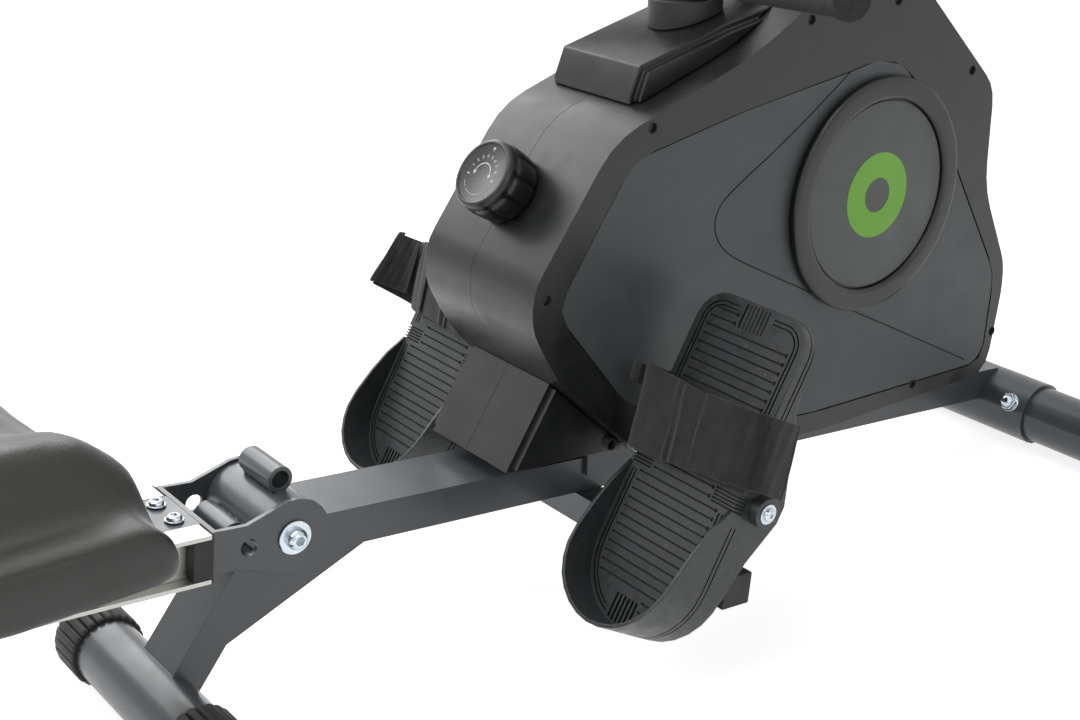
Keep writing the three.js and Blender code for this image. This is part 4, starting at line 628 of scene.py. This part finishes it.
# Foot straps: webbing over the instep, with its second layer and its loose end
def webbing(line, near, far, thickness, place, across=10):
    # line holds (y outward, height) points; near and far are the edges at the line's two ends
    pts = spline([(y, h, 0) for y, h in line], 6)
    n = len(pts)
    top, low = [], []
    for i, p in enumerate(pts):
        d = (pts[min(i + 1, n - 1)] - pts[max(i - 1, 0)]).normalized()
        normal = Vector((-d.y, d.x, 0))
        u = i / (n - 1)
        a, b = (first + (last - first) * u for first, last in (near, far))
        upper, lower = [], []
        for k in range(across + 1):
            v = k / across
            s = a + (b - a) * v
            swell = 0.5 * sin(u * 23 + v * 2.2) * sin(v * pi) + 0.35 * sin(u * 51 - v * 5)
            edge = thickness / 2 * (0.55 if k in (0, across) else 1)
            upper.append(place(s, p.x + normal.x * (edge + swell), p.y + normal.y * (edge + swell), u))
            lower.append(place(s, p.x - normal.x * (edge - swell), p.y - normal.y * (edge - swell), u))
        top.append(upper)
        low.append(lower)
    verts = [v for row in top for v in row] + [v for row in low for v in row]
    w, half = across + 1, n * (across + 1)
    faces = []
    for i in range(n - 1):
        for k in range(across):
            q = i * w + k
            faces.append([q, q + 1, q + w + 1, q + w])
            faces.append([half + q, half + q + w, half + q + w + 1, half + q + 1])
        for k in (0, across):
            q = i * w + k
            faces.append([q, q + w, half + q + w, half + q])
    for i in (0, n - 1):
        for k in range(across):
            q = i * w + k
            faces.append([q, q + 1, half + q + 1, half + q])
    return verts, faces


def foot_strap(label, side, middle, layers):
    # Each layer has its line, its edges at both ends, its thickness, and its tilt at the start and at the end
    # with the share of the line from which the tilt changes
    parts = []
    for line, ends, thick, tilts in layers:
        def place(s, y, h, u, tilts=tilts):
            first, last, since = tilts
            tilt = first + (last - first) * min(1, max(0, (u - since) / (1.001 - since)))
            return sole_at(s, side * (PEDAL_MIDDLE + y), h + tilt * (s - middle))

        parts.append(webbing(line, ends[:2], ends[2:], thick, place))
    ob = stand_in("foot_strap_" + label, "_webbing", merged(*parts), CLOTH, 50)
    sub = ob.modifiers.new("soft", "SUBSURF")
    sub.levels = sub.render_levels = 1
    return baked(ob)


OVER = [(-62.4, -14), (-62.5, 6), (-61.6, 17.5), (-53, 24.3), (-34, 26.4), (-16, 26.3), (-12, 27.6),
        (-8, 26.2), (-3, 27.4), (2, 26), (22, 24.6), (40, 22), (53, 17.6), (61.5, 10.4), (62.6, 2),
        (62.4, -14)]
SECOND = [(17, 27.6), (22, 28.2), (38, 25.2), (50, 21.6), (58, 16.6), (64, 12.4), (67, 6), (72, 2), (80, 1),
          (91, 4), (102, 8)]
BUCKLE = [(-61, 17), (-66, 21), (-68, 27), (-64, 30), (-60, 27)]
LOOSE = [(30, 27), (44, 24), (54, 20), (62, 12.5), (70, 8), (80, 10), (90, 19), (98, 29.6)]
FOLD = [(98, 29.6), (99, 33), (95, 35.5), (88, 28), (80, 19), (70, 15)]
EVEN = (0.28, 0.28, 0)
foot_strap("right", -1, 161.5, [
    (OVER, (124, 133, 197, 191.5), 2.2, EVEN),
    (SECOND, (131, 142, 193.5, 201), 2.0, EVEN),
    (BUCKLE, (176, 178, 194, 192), 1.6, EVEN),
])
foot_strap("left", 1, 176, [
    (OVER, (140, 146, 209, 206), 2.2, EVEN),
    (LOOSE, (143, 151, 212, 208), 2.0, (0.28, -0.22, 0.6)),
    (FOLD, (152, 156, 211, 206), 2.0, (-0.22, 0.2, 0.2)),
])


# Resistance knob and its dial
KNOB = at(242.117, 0, 223.882)
KNOB_AXIS = Vector((-0.81746, 0, 0.57599)).normalized()
KNOB_UP = Vector((0.57599, 0, 0.81746)).normalized()
KNOB_RIGHT = Vector((0, -1, 0))


def on_dial(a, b, h):
    return KNOB + (KNOB_RIGHT * a + KNOB_UP * b + KNOB_AXIS * h) / 1000


def knob_ring(radius, height, lobing, count=180):
    ring = []
    for i in range(count):
        w = 2 * pi * i / count
        pitch = pi / 5
        off = abs(remainder(w, pitch))
        notch = 2.4 * exp(-((pitch / 2 - off) / 0.055) ** 2)
        flat = 0.55 * (1 - cos(off * 5))
        r = radius - lobing * (notch + flat)
        ring.append(on_dial(r * cos(w), r * sin(w), height))
    return ring


def stacked(rings):
    verts = [v for ring in rings for v in ring]
    n = len(rings[0])
    faces = [list(range(n)), [len(verts) - n + k for k in range(n)]]
    for i in range(len(rings) - 1):
        for k in range(n):
            faces.append([i * n + k, i * n + (k + 1) % n, (i + 1) * n + (k + 1) % n, (i + 1) * n + k])
    return verts, faces


rings = [knob_ring(*row) for row in ((27.5, 1, 0), (29.5, 1.4, 0.4), (30.8, 3, 1), (31.8, 12, 1),
                                     (32.2, 22.6, 1), (31.9, 24.4, 1), (31.4, 25.8, 0.9), (31, 26.8, 0.35),
                                     (30.9, 28.2, 0), (30.9, 31.4, 0), (30.5, 33.4, 0), (29.6, 34.9, 0),
                                     (28.2, 35.8, 0), (27, 36, 0), (26.2, 35.7, 0), (25.8, 35, 0),
                                     (25.2, 34.8, 0))]
stand_in("resistance_knob", "_grip", stacked(rings), BEZEL, 34)


MARK_LOW, MARK_HIGH = 34.6, 34.95
DIAL_MIDDLE = (0, -1)
FIGURES, FIRST_ANGLE, ANGLE_STEP, FIGURE_CIRCLE, FIGURE_SIZE = 8, 162, 20.5, 15.6, 4.4


def dial_mark(points):
    return slab(points, MARK_LOW, MARK_HIGH, on_dial)


def dial_bar(x0, y0, x1, y1):
    return dial_mark([(x0, y0), (x1, y0), (x1, y1), (x0, y1)])


def dial_arc(radius, start, stop, half):
    ws = [radians(start + (stop - start) * k / 28) for k in range(29)]
    path = [(DIAL_MIDDLE[0] + radius * cos(w), DIAL_MIDDLE[1] + radius * sin(w)) for w in ws]
    return strip(path, half, MARK_LOW, MARK_HIGH, on_dial)


def dial_arrow(radius, angle, turn, size):
    w = radians(angle)
    tip = Vector((DIAL_MIDDLE[0] + radius * cos(w), DIAL_MIDDLE[1] + radius * sin(w)))
    d = Vector((-sin(w), cos(w))) * turn
    n = Vector((-d.y, d.x))
    return dial_mark([tuple(tip + d * size), tuple(tip + n * size * 0.55), tuple(tip - n * size * 0.55)])


def dial_figure(number, angle):
    # A figure as a thin closed slab that stands along the dial's circle
    font = bpy.data.curves.new("figure", "FONT")
    font.body = str(number)
    font.size = FIGURE_SIZE
    font.align_x = "CENTER"
    font.align_y = "CENTER"
    text = bpy.data.objects.new("figure", font)
    scene.collection.objects.link(text)
    me = final_mesh(text)
    w = radians(angle)
    turn = w - pi / 2
    centre = (FIGURE_CIRCLE * cos(w), DIAL_MIDDLE[1] + FIGURE_CIRCLE * sin(w))
    verts = []
    for v in me.vertices:
        x = v.co.x * cos(turn) - v.co.y * sin(turn)
        y = v.co.x * sin(turn) + v.co.y * cos(turn)
        verts.append((centre[0] + x, centre[1] + y))
    faces = [list(p.vertices) for p in me.polygons]
    n = len(verts)
    edges = dict.fromkeys((a, b) for face in faces for a, b in zip(face, face[1:] + face[:1]))
    rim = [[a, b, b + n, a + n] for a, b in edges if (b, a) not in edges]
    solid = [on_dial(a, b, MARK_LOW) for a, b in verts] + [on_dial(a, b, MARK_HIGH) for a, b in verts]
    bpy.data.objects.remove(text)
    return solid, faces + [[i + n for i in face[::-1]] for face in faces] + rim


marks = [dial_arc(9.6, 6, 174, 0.42), dial_arrow(9.6, 6, -1, 3.4), dial_arrow(9.6, 174, 1, 3.4),
         dial_mark([(0, 19.6), (1.5, 23), (-1.5, 23)]), dial_bar(-17.6, -4.4, -14.4, -3.5),
         dial_bar(14.4, -4.4, 17.6, -3.5), dial_bar(15.55, -5.5, 16.45, -4.45),
         dial_bar(15.55, -3.45, 16.45, -2.4)]
marks += [dial_arc(18.6, start, stop, 0.16) for start, stop in ((-150, -128), (-122, -58), (-52, -30))]
marks += [dial_figure(k + 1, FIRST_ANGLE - ANGLE_STEP * k) for k in range(FIGURES)]
put("dial_marks", *merged(*marks), INK, "knob", slot=slot_of["resistance_knob"])


# Seat: a vinyl cushion that swells from a slightly smaller shape, in the rail's sloping frame
SEAT_FRONT, SEAT_MIDDLE, SEAT_BACK, SEAT_SIDE = -142, -273, -404, 156
# The corners of the outline, each with its radius and the angle at which its arc starts
SEAT_CORNERS = ((SEAT_FRONT, SEAT_SIDE, 38, 0), (SEAT_BACK, SEAT_SIDE, 26, 90),
                (SEAT_BACK, -SEAT_SIDE, 26, 180), (SEAT_FRONT, -SEAT_SIDE, 15, 270))
ARC_STEPS, STRAIGHT_STEPS, TOP_RINGS = 8, 44, 24
# How much smaller the shape is before it swells, and how far a point may move, in metres
ROOM, SWELL_CAP = 1.5, 0.003
BASE_TOP = 52


def rail_place(v):
    q = (v - PIVOT) * 1000
    c, s = cos(RAIL), sin(RAIL)
    return Vector((q.x * c - q.z * s, q.y, q.x * s + q.z * c))


def seat_outline(shrink):
    out = []
    for x, y, radius, first in SEAT_CORNERS:
        cx, cy = x - copysign(radius, x - SEAT_MIDDLE), y - copysign(radius, y)
        r, over = max(radius - shrink, 1), max(0, shrink - radius + 1)
        mx, my = cx + copysign(over, SEAT_MIDDLE - x), cy - copysign(over, y)
        for k in range(ARC_STEPS + 1):
            w = radians(first + 90 / ARC_STEPS * k)
            out.append((mx + r * cos(w), my + r * sin(w)))
    # The straight stretches get as many points in every ring
    full = []
    for i, p in enumerate(out):
        q = out[(i + 1) % len(out)]
        count = STRAIGHT_STEPS if i % (ARC_STEPS + 1) == ARC_STEPS else 1
        full += [(p[0] + (q[0] - p[0]) * k / count, p[1] + (q[1] - p[1]) * k / count) for k in range(count)]
    return full


def drawn_in(points, share):
    return [(SEAT_MIDDLE + (x - SEAT_MIDDLE) * share, y * share) for x, y in points]


def rolled(distance, radius):
    # How far a round edge lies under its top at a distance from the side
    gap = radius - min(max(distance, 0), radius)
    return radius - sqrt(radius * radius - gap * gap)


def seat_top(x, y):
    # Two swells along the seat with a valley between, both falling to the front
    def fall(start, reach, low, rise, power):
        t = min(max((x - start) / reach, 0), 1)
        return low + rise * (1 - t * t) ** power

    back = rolled(x - SEAT_BACK, 34)
    flank = 80.4 + (x + 270) * 0.079
    near = fall(-200, 60, 86, 42, 0.7) - 12 * max(0, (-200 - x) / 204) ** 2 - back * 1.4
    far = fall(-290, 148, 66, 46, 0.9) - back * 1.3
    valley = fall(-230, 90, 60, 38, 0.6) - back
    near_edge = flank - rolled(SEAT_FRONT - x, 33) - back * 0.6
    far_edge = flank - 6 - rolled(SEAT_FRONT - x, 38) - back * 0.6
    rows = [(-SEAT_SIDE, near_edge), (-124, near_edge), (-76, near), (36, valley), (84, far), (126, far_edge),
            (SEAT_SIDE, far_edge)]
    for (y0, z0), (y1, z1) in zip(rows, rows[1:]):
        if y <= y1 or y1 == SEAT_SIDE:
            share = min(max((y - y0) / (y1 - y0), 0), 1)
            return z0 + (z1 - z0) * (1 - cos(pi * share)) / 2


def seat_low(x, y):
    share = min(max((abs(y) - 80) / 50, 0), 1)
    return 38.5 + (max(33, 31.5 + (x + 271) * 0.113) - 38.5) * share


def cushion_rings():
    # From the middle of the underside out to the edge, up the side and over the top to the middle
    rings = []
    for share in (0.15, 0.4, 0.65, 0.85):
        rings.append([rail_at(x, y, seat_low(x, y)) for x, y in drawn_in(seat_outline(9), share)])
    for shrink, lift in ((9, 0), (4, 1.5), (1, 5), (0, 10)):
        rings.append([rail_at(x, y, seat_low(x, y) + lift) for x, y in seat_outline(shrink + ROOM)])
    for shrink in (0, 0.6, 2, 4, 6.5, 9):
        drop = rolled(shrink, 6.5)
        rings.append([rail_at(x, y, seat_top(x, y) - ROOM - drop) for x, y in seat_outline(shrink + ROOM)])
    for k in range(1, TOP_RINGS):
        spots = drawn_in(seat_outline(9 + ROOM), 1 - k / TOP_RINGS)
        rings.append([rail_at(x, y, seat_top(x, y) - ROOM) for x, y in spots])
    return rings


def swell(ob):
    # Air pressure in the cloth, with the underside held
    start = [v.co.copy() for v in ob.data.vertices]
    group = ob.vertex_groups.new(name="held")
    group.add([i for i, p in enumerate(start) if rail_place(p).z < BASE_TOP], 1.0, "ADD")
    cloth = ob.modifiers.new("swell", "CLOTH")
    cloth.settings.use_pressure = True
    cloth.settings.uniform_pressure_force = 4
    cloth.settings.quality = 5
    cloth.settings.mass = 0.3
    cloth.settings.tension_stiffness = cloth.settings.compression_stiffness = 25
    cloth.settings.bending_stiffness = 3
    cloth.settings.vertex_group_mass = "held"
    cloth.settings.effector_weights.gravity = 0
    cloth.point_cache.frame_start, cloth.point_cache.frame_end = 1, 20
    for number in range(1, 21):
        scene.frame_set(number)
    moved = ob.evaluated_get(bpy.context.evaluated_depsgraph_get()).data
    end = [v.co.copy() for v in moved.vertices]
    ob.modifiers.clear()
    scene.frame_set(1)
    for v, a, b in zip(ob.data.vertices, start, end):
        d = b - a
        v.co = a + d * min(1, SWELL_CAP / max(d.length, 1e-9))


def smoothed(ob, name):
    soft = ob.modifiers.new(name, "SMOOTH")
    soft.factor = 0.5
    soft.iterations = 2


def make_cushion():
    verts, faces = stacked(cushion_rings())
    ob = put("seat_vinyl", verts, faces, VINYL, "seat", ("seat_cushion",), 180)
    voxel = ob.modifiers.new("voxel", "REMESH")
    voxel.mode = "VOXEL"
    voxel.voxel_size = 0.005
    smoothed(ob, "soft")
    baked(ob)
    swell(ob)
    smoothed(ob, "skin")
    sub = ob.modifiers.new("fine", "SUBSURF")
    sub.levels = sub.render_levels = 1
    baked(ob)
    ob.data.shade_smooth()


make_cushion()

# Housing: shells, panels with their teardrop groove, ring covers and screw wells
HOUSING_START, HOUSING_SIZE = (200, -47), (606, 447)


def in_housing(fx, fz):
    return (HOUSING_START[0] + HOUSING_SIZE[0] * fx, HOUSING_START[1] + HOUSING_SIZE[1] * fz)


PANEL_CORNERS = [in_housing(*p) for p in (
    (0.04, 0.43), (0.168, 0.685), (0.373, 0.738), (0.581, 0.776), (0.64, 0.79), (0.7, 0.77), (0.8, 0.62),
    (0.975, 0.245), (0.966, 0.03), (0.55, 0.05), (0.4, 0.075), (0.168, 0.205))]
SCREWS = [in_housing(*p) for p in ((0.2, 0.738), (0.025, 0.459), (0.144, 0.132), (0.491, 0.89), (0.86, 0.729),
                                   (0.79, 0.034), (0.985, 0.1), (0.672, 0.902))]
RING_AT = (595, 180)
for label, side, outside in (("left", 1, 66.0), ("right", -1, 85.2)):
    def on_side(x, z, h, side=side, outside=outside):
        return at(x, side * (outside + h), z)

    refine("housing_" + label, 2.6, 3)
    outline = inset(rounded(PANEL_CORNERS, 24, 6), 1.0)
    panel = stand_in("side_panel_" + label, "_plate", slab(outline, -1.95, -0.45, on_side), PANEL, 30)
    nose = spline([Vector((x, z, 0)) for x, z in ((559, 304), (510, 271), (462, 241), (426, 221),
                                                  (402, 204), (396, 185), (405, 166), (424, 151),
                                                  (470, 126), (560, 79), (660, 27), (757, -24))], 8)
    cuts = [strip([(p.x, p.y) for p in nose], 0.65, -1.4, 1, on_side)]
    add_bevel(panel, 0.35, 2, 35)
    baked(panel)
    carved(panel, *cuts)

    def on_ring(a, b, h, side=side, outside=outside):
        return at(RING_AT[0] + a, side * (outside + 0.3 + h), RING_AT[1] + b)

    axis, centre = Vector((0, side, 0)), at(RING_AT[0], side * (outside + 0.3), RING_AT[1])
    profile = [(0, 0), (106, 0), (106, 2.2), (110, 2.2), (110, 5.6), (109.3, 6.9), (107.8, 7.8), (105.8, 8),
               (94, 8), (92.2, 7.8), (90.8, 7.2), (89.8, 6.2), (89.3, 4.8), (88.9, 2.6), (0, 2.6)]
    node_name = "ring_cover_" + label
    stand_in(node_name, "_bezel", lathe(profile, axis, centre, 128), BEZEL, 28)
    profile = [(0, 2.7), (87.8, 2.7), (87.8, 3.6), (87.3, 4.1), (86.4, 4.3), (0, 4.3)]
    put(node_name + "_disc", *lathe(profile, axis, centre, 128), DISC, "frame", slot="panel_plastic",
        sharp=28)
    circle = [(28.2 * cos(w), 28.2 * sin(w)) for w in (2 * pi * k / 96 for k in range(96))]
    verts, faces = strip(circle, 11.9, 4.2, 4.55, on_ring, closed=True)
    put(node_name + "_circle", verts, faces, GREEN, "frame", slot="pale_plastic", sharp=28)
    # Screw wells: walls and rims painted near-black, darker than the shell, as painted shade in the holes;
    # the screw heads at their bottoms are black
    wells = []
    for x, z in SCREWS:
        spot = at(x, side * outside, z)
        wells.append(lathe([(3.9, -9), (4.0, -0.3), (4.2, 0.12), (4.9, 0.14), (5.3, -0.2), (5.3, -9.0),
                            (3.9, -9)], axis, spot, 24))
        wells.append(lathe([(0, -8.6), (3.2, -8.6), (3.0, -7.4), (2.0, -6.6), (0, -6.4)], axis, spot, 16))
    put("screw_wells_" + label, *merged(*wells), SHADE_BLACK, "frame", slot="shell_plastic")


# Fasteners
def hexagon(radius, low, high, axis, centre, edge=0.9):
    # A bolt head with chamfered corners
    rings = []
    a, u, v = basis(axis)
    for r, h, mix in ((radius, low, 1), (radius, high - edge, 1), (radius * 0.9, high, 0.55)):
        ring = []
        for k in range(36):
            w = 2 * pi * k / 36
            off = remainder(w, pi / 3)
            flat = cos(pi / 6) / cos(pi / 6 - abs(off))
            rr = r * (flat * mix + (1 - mix) * 0.9)
            ring.append(centre + a * h / 1000 + (u * cos(w) + v * sin(w)) * rr / 1000)
        rings.append(ring)
    return stacked(rings)


def socket_head(radius, height, socket, axis, centre, depth=None):
    # A domed head with a hexagon socket, standing on its centre
    depth = depth or height * 0.6
    count = 48
    a, u, v = basis(axis)

    def ring(r, h, hexed=False):
        out = []
        for k in range(count):
            w = 2 * pi * k / count
            off = remainder(w, pi / 3)
            rr = r * (cos(pi / 6) / cos(pi / 6 - abs(off)) if hexed else 1)
            out.append(centre + a * h / 1000 + (u * cos(w) + v * sin(w)) * rr / 1000)
        return out

    return stacked([ring(radius, 0), ring(radius, height * 0.25), ring(radius * 0.94, height * 0.55),
                    ring(radius * 0.82, height * 0.8), ring(radius * 0.64, height * 0.97),
                    ring(socket * 1.12, height), ring(socket, height - 0.3, True),
                    ring(socket, height - depth, True)])


def washer(radius, thick, bore, axis, centre):
    e = min(0.4, thick / 3)
    return lathe([(bore, 0), (radius - e, 0), (radius, e), (radius, thick - e), (radius - e, thick),
                  (bore, thick), (bore, 0)], axis, centre, 48)


def shaft(radius, half, spot):
    return lathe([(0, -half), (radius, -half), (radius, half), (0, half)], ACROSS, spot, 32)


pieces = []
for side in (-1, 1):
    axis = Vector((0, side, 0))
    pieces += [washer(14, 2.0, 7, axis, at(0, side * 47.95, 0)),
               socket_head(8.8, 7.6, 4.2, axis, at(0, side * 49.9, 0), 5)]
pieces.append(shaft(7.8, 47.6, at(0, 0, 0)))
put("pivot_bolt_set", *merged(*pieces), ZINC, "frame", ("pivot_bolt",), 35)
for label, y in (("left", 15.2), ("right", -15.2)):
    axis = (rail_at(0, 0, 1) - rail_at(0, 0, 0)).normalized()
    parts = [washer(7.6, 1.3, 4, axis, rail_at(-85, y, 19.9)),
             socket_head(6.4, 3.6, 3.0, axis, rail_at(-85, y, 21.1), 2.6)]
    stand_in("tongue_bolt_" + label, "_head", merged(*parts), ZINC, 35)

spot = at(314.786, 0, 3.869)
parts = []
for side in (-1, 1):
    axis = Vector((0, side, 0))
    parts += [washer(8.5, 1.6, 5, axis, spot + axis * 0.2443),
              socket_head(5.6, 3.4, 1.9, axis, spot + axis * 0.2459, 1.6)]
parts.append(shaft(6, 244.6, spot))
stand_in("pedal_axle", "_set", merged(*parts), ZINC, 35)

FOOT_BOLT_SLOPE = radians(27)
for label, y in (("left", 73), ("right", -73)):
    axis = Vector((-cos(FOOT_BOLT_SLOPE), 0, sin(FOOT_BOLT_SLOPE)))
    spot = at(891.6, y, -118.7)
    dome = [(0, 0), (7, 0), (7, 1.2), (6.7, 3), (5.4, 5.2), (3.2, 6.5), (0, 7)]
    parts = [washer(9.9, 1.7, 5, axis, spot + axis * 0.0335),
             hexagon(9.2, 1.6, 7.2, axis, spot + axis * 0.0335),
             lathe([(r * 0.92, h * 0.75) for r, h in dome], axis, spot + axis * 0.0405, 32),
             washer(9.9, 1.7, 5, -axis, spot - axis * 0.0335),
             hexagon(9.2, 1.6, 8.5, -axis, spot - axis * 0.0335)]
    stand_in("front_foot_bolt_" + label, "_set", merged(*parts), ZINC, 32)


# Ribbed end caps and small wheels
def ribbed_cap(node, spot, side, radius, low, high, ribs=24, depth=2.3):
    rows = [(radius - 4.6, low, 0), (radius - 1.4, low, 1), (radius - 0.3, low + 1.4, 1),
            (radius, low + 3.2, 1), (radius, high - 9, 1), (radius - 0.7, high - 5.5, 0.9),
            (radius - 2.4, high - 2.2, 0.5), (radius - 4.8, high - 0.5, 0), (radius - 7.5, high, 0),
            (radius - 9, high, 0), (radius - 10, high - 1.2, 0), (radius - 12, high - 1.4, 0)]
    rings = []
    for r, along, share in rows:
        ring = []
        for k in range(ribs * 10):
            w = 2 * pi * k / (ribs * 10)
            off = remainder(w, 2 * pi / ribs) * ribs / pi
            rr = r - share * depth * (exp(-(off / 0.2) ** 2) + 0.12 * (1 - off * off))
            x, z = spot[0] + rr * cos(w), spot[1] + rr * sin(w)
            ring.append(at(x, side * along, max(z, FLOOR)))
        rings.append(ring)
    stand_in(node, "_cap", stacked(rings), RUBBER, 38)


def wheel(half_profile, spot, sides):
    # Both halves of a wheel on an axle across the machine
    return lathe([(r, -h) for r, h in half_profile] + half_profile[::-1], ACROSS, spot, sides)


TRANSPORT_WHEEL = [(0, 5), (4.5, 5), (4.7, 6.8), (8, 6.8), (8.4, 4.6), (14.5, 4.4), (15.5, 7.4), (18.6, 8),
                   (20, 7.2), (20.9, 5), (21, 1.4), (20.4, 1)]
SEAT_ROLLER = [(0, 4.6), (5, 4.6), (5.4, 3.4), (9.5, 3.4), (10.4, 5), (14.4, 5), (15.3, 4.2), (15.6, 3)]
for side, label in ((1, "left"), (-1, "right")):
    ribbed_cap("centre_foot_cap_" + label, (-107, -125), side, 31.8, 77.2, 119)
    ribbed_cap("front_foot_cap_" + label, (891.6, -118.7), side, 38.1, 205.2, 250)
    ribbed_cap("rear_foot_cap_" + label, (-1070, -126.8), side, 30, 162.2, 200)
    tyre = wheel(TRANSPORT_WHEEL, at(945.6, side * 229, -133.8), 64)
    stand_in("transport_wheel_" + label, "_tyre", tyre, TYRE, 30)
    for end in ("front", "rear"):
        node_name = f"seat_roller_{end}_{label}"
        low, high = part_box(node_name)
        stand_in(node_name, "_wheel", wheel(SEAT_ROLLER, (low + high) / 2, 56), PALE, 30)

# Welds
lines = []
for x, z in ((-38.66, 3.25), (3.25, 38.66)):
    d = Vector((x, 0, z)).normalized()
    p = Vector((-d.z, 0, d.x))
    for k in (-1, 1):
        q = d * 30.2 + p * 5.2 * k
        lines.append(bead([at(q.x, y, q.z) for y in (-23, -8, 8, 23)], 2.0))
for y in (-35, 35):
    lines.append(bead([at(29.4 * cos(w), y, 29.4 * sin(w)) for w in
                       (radians(-75 + 12 * k) for k in range(11))], 1.5))
for y in (-20.4, 20.4):
    lines.append(bead([at(x, y, z) for x, z in ((-93, -101.2), (-84, -106), (-79.5, -114))], 1.5))
put("boss_welds", *merged(*lines), PAINT, "frame", slot="frame_paint", sharp=60)

# Nodes that keep their shape, with the width of their rounded edges, by the steps of the rounding
EDGES = {
    2: {
        "magnet_arm": 0.6, "console_screen": 0.5, "console_button": 0.8, "handle_bar": 0.3, "pull_strap": 0.4,
        "handle_grip_left": 0.8, "handle_grip_right": 0.8, "flywheel": 0.8, "drive_pulley": 0.8,
        "strap_drum": 0.8, "drive_belt": 0.3,
    },
    3: {
        "main_frame": 1.6, "centre_leg": 1.6, "front_foot_tube": 0.6, "pedal_stop_bar": 1.2,
        "gear_frame": 0.5, "fold_bracket": 0.9, "rear_foot": 1.0, "rail": 0.35, "rail_rear_stop": 0.8,
        "rail_front_buffer": 0.6, "seat_carriage": 0.6, "frame_cover_left": 2.4, "frame_cover_right": 2.4,
        "top_cover": 2.2, "console_case": 2.0, "stop_bar_plug_left": 1.2, "stop_bar_plug_right": 1.2,
        "handle_cradle": 1.2, "pivot_boss": 0.4,
    },
}
for steps, widths in EDGES.items():
    for node_name, width in widths.items():
        refine(node_name, width, steps)

# The stretch of pull strap that stays with the frame: it lies inside the strap at rest, and fills the way
# from the strap's end to the slot when the handle is pulled out
PULL_FROM = Vector((0.5243, 0, 0.5391))
PULL = Vector((0.990268, 0.0, -0.139173))
PULL_UP = Vector((0.139173, 0.0, 0.990268))
RUN_START, RUN_END, RUN_HALF, RUN_THICK = 18.4, 116.5, 14.3, 1.2


def on_strap(a, b, h):
    return PULL_FROM + (PULL * a + Vector((0, b, 0)) + PULL_UP * h) / 1000


run_outline = rounded([(RUN_START, -RUN_HALF), (RUN_END, -RUN_HALF), (RUN_END, RUN_HALF),
                       (RUN_START, RUN_HALF)], 0.5, 2)
verts, faces = slab(run_outline, -RUN_THICK / 2, RUN_THICK / 2, on_strap)
put("strap_run", verts, faces, CLOTH, "frame", slot=slot_of["pull_strap"], bevel=0.3)

# Floor, lights and camera
floor = put("floor", [(-9, -9, 0), (9, -9, 0), (9, 9, 0), (-9, 9, 0)], [[0, 1, 2, 3]], INK)
floor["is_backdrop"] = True
ground = bpy.data.materials.new("pale_floor")
tree = new_tree(ground)
rays = add_node(tree, "LightPath").outputs
seen = add_node(tree, "Math", {}, {0: rays["Is Camera Ray"], 1: rays["Is Glossy Ray"]}, operation="MAXIMUM")
strength = add_node(tree, "Math", {1: 0.8}, {0: seen.outputs[0]}, operation="MULTIPLY")
glow = add_node(tree, "Emission", {}, {"Strength": strength.outputs[0]})
diffuse = add_node(tree, "BsdfDiffuse", {0: (0.8, 0.8, 0.8, 1)})
both = add_node(tree, "AddShader", {}, {0: diffuse.outputs[0], 1: glow.outputs[0]})
add_node(tree, "OutputMaterial", {}, {0: both.outputs[0]})
floor.data.materials[0] = ground

# The world is dim on the object, and white to the camera and in mirrors and glass
world = bpy.data.worlds.new("studio")
scene.world = world
tree = new_tree(world)
rays = add_node(tree, "LightPath").outputs
seen = add_node(tree, "Math", {}, {0: rays["Is Camera Ray"], 1: rays["Is Glossy Ray"]}, operation="MAXIMUM")
seen = add_node(tree, "Math", {}, {0: seen.outputs[0], 1: rays["Is Transmission Ray"]}, operation="MAXIMUM")
level = add_node(tree, "MapRange", {"To Min": 0.22, "To Max": 1.0}, {0: seen.outputs[0]})
sky = add_node(tree, "Background", {"Color": (1, 1, 1, 1)}, {"Strength": level.outputs[0]})
add_node(tree, "OutputWorld", {}, {0: sky.outputs[0]})


def lamp(name, place, target, size, power):
    data = bpy.data.lights.new(name, "AREA")
    data.shape = "RECTANGLE"
    data.size, data.size_y = size
    data.energy = power
    ob = bpy.data.objects.new(name, data)
    scene.collection.objects.link(ob)
    ob.location = place
    ob.rotation_euler = (Vector(target) - Vector(place)).to_track_quat("-Z", "Y").to_euler()


lamp("overhead", (-0.3, 0.2, 2.6), (0.1, 0, 0.2), (2.2, 1.6), 24)
lamp("rear_side", (-2.1, 0.5, 1.9), (0.3, 0, 0.3), (1.3, 1.2), 22)
lamp("far_side", (0.3, 2.0, 1.5), (0.3, 0, 0.3), (2.4, 1.1), 34)
lamp("camera_side", (0.2, -2.9, 1.5), (0.4, 0, 0.2), (1.8, 1.2), 11)

# The photograph's camera, in pixels of its frame: the size, the focal length and the picture's centre
WIDTH, HEIGHT, FOCAL = 1080, 720, 1675.01
CENTRE_X, CENTRE_Y = 546.03, 327.97
yaw, pitch, roll = radians(-38.14), radians(21.26), radians(0.70)
back = Vector((sin(yaw) * cos(pitch), -cos(yaw) * cos(pitch), sin(pitch)))
right = Vector((cos(yaw), sin(yaw), 0))
up = back.cross(right)
across = right * cos(roll) + up * sin(roll)
upright = up * cos(roll) - right * sin(roll)
camera_data = bpy.data.cameras.new("photo_camera")
camera_data.sensor_width = 36
camera_data.lens = FOCAL * camera_data.sensor_width / WIDTH
camera_data.shift_x = (WIDTH / 2 - CENTRE_X) / WIDTH
camera_data.shift_y = (CENTRE_Y - HEIGHT / 2) / WIDTH
camera_data.clip_end = 60
camera = bpy.data.objects.new("photo_camera", camera_data)
scene.collection.objects.link(camera)
place = at(-555.23, -1065.44, 620.13)
camera.matrix_world = Matrix(((across.x, upright.x, back.x, place.x), (across.y, upright.y, back.y, place.y),
                              (across.z, upright.z, back.z, place.z), (0, 0, 0, 1)))
scene.camera = camera
scene.view_settings.view_transform = "Standard"

low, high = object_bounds()
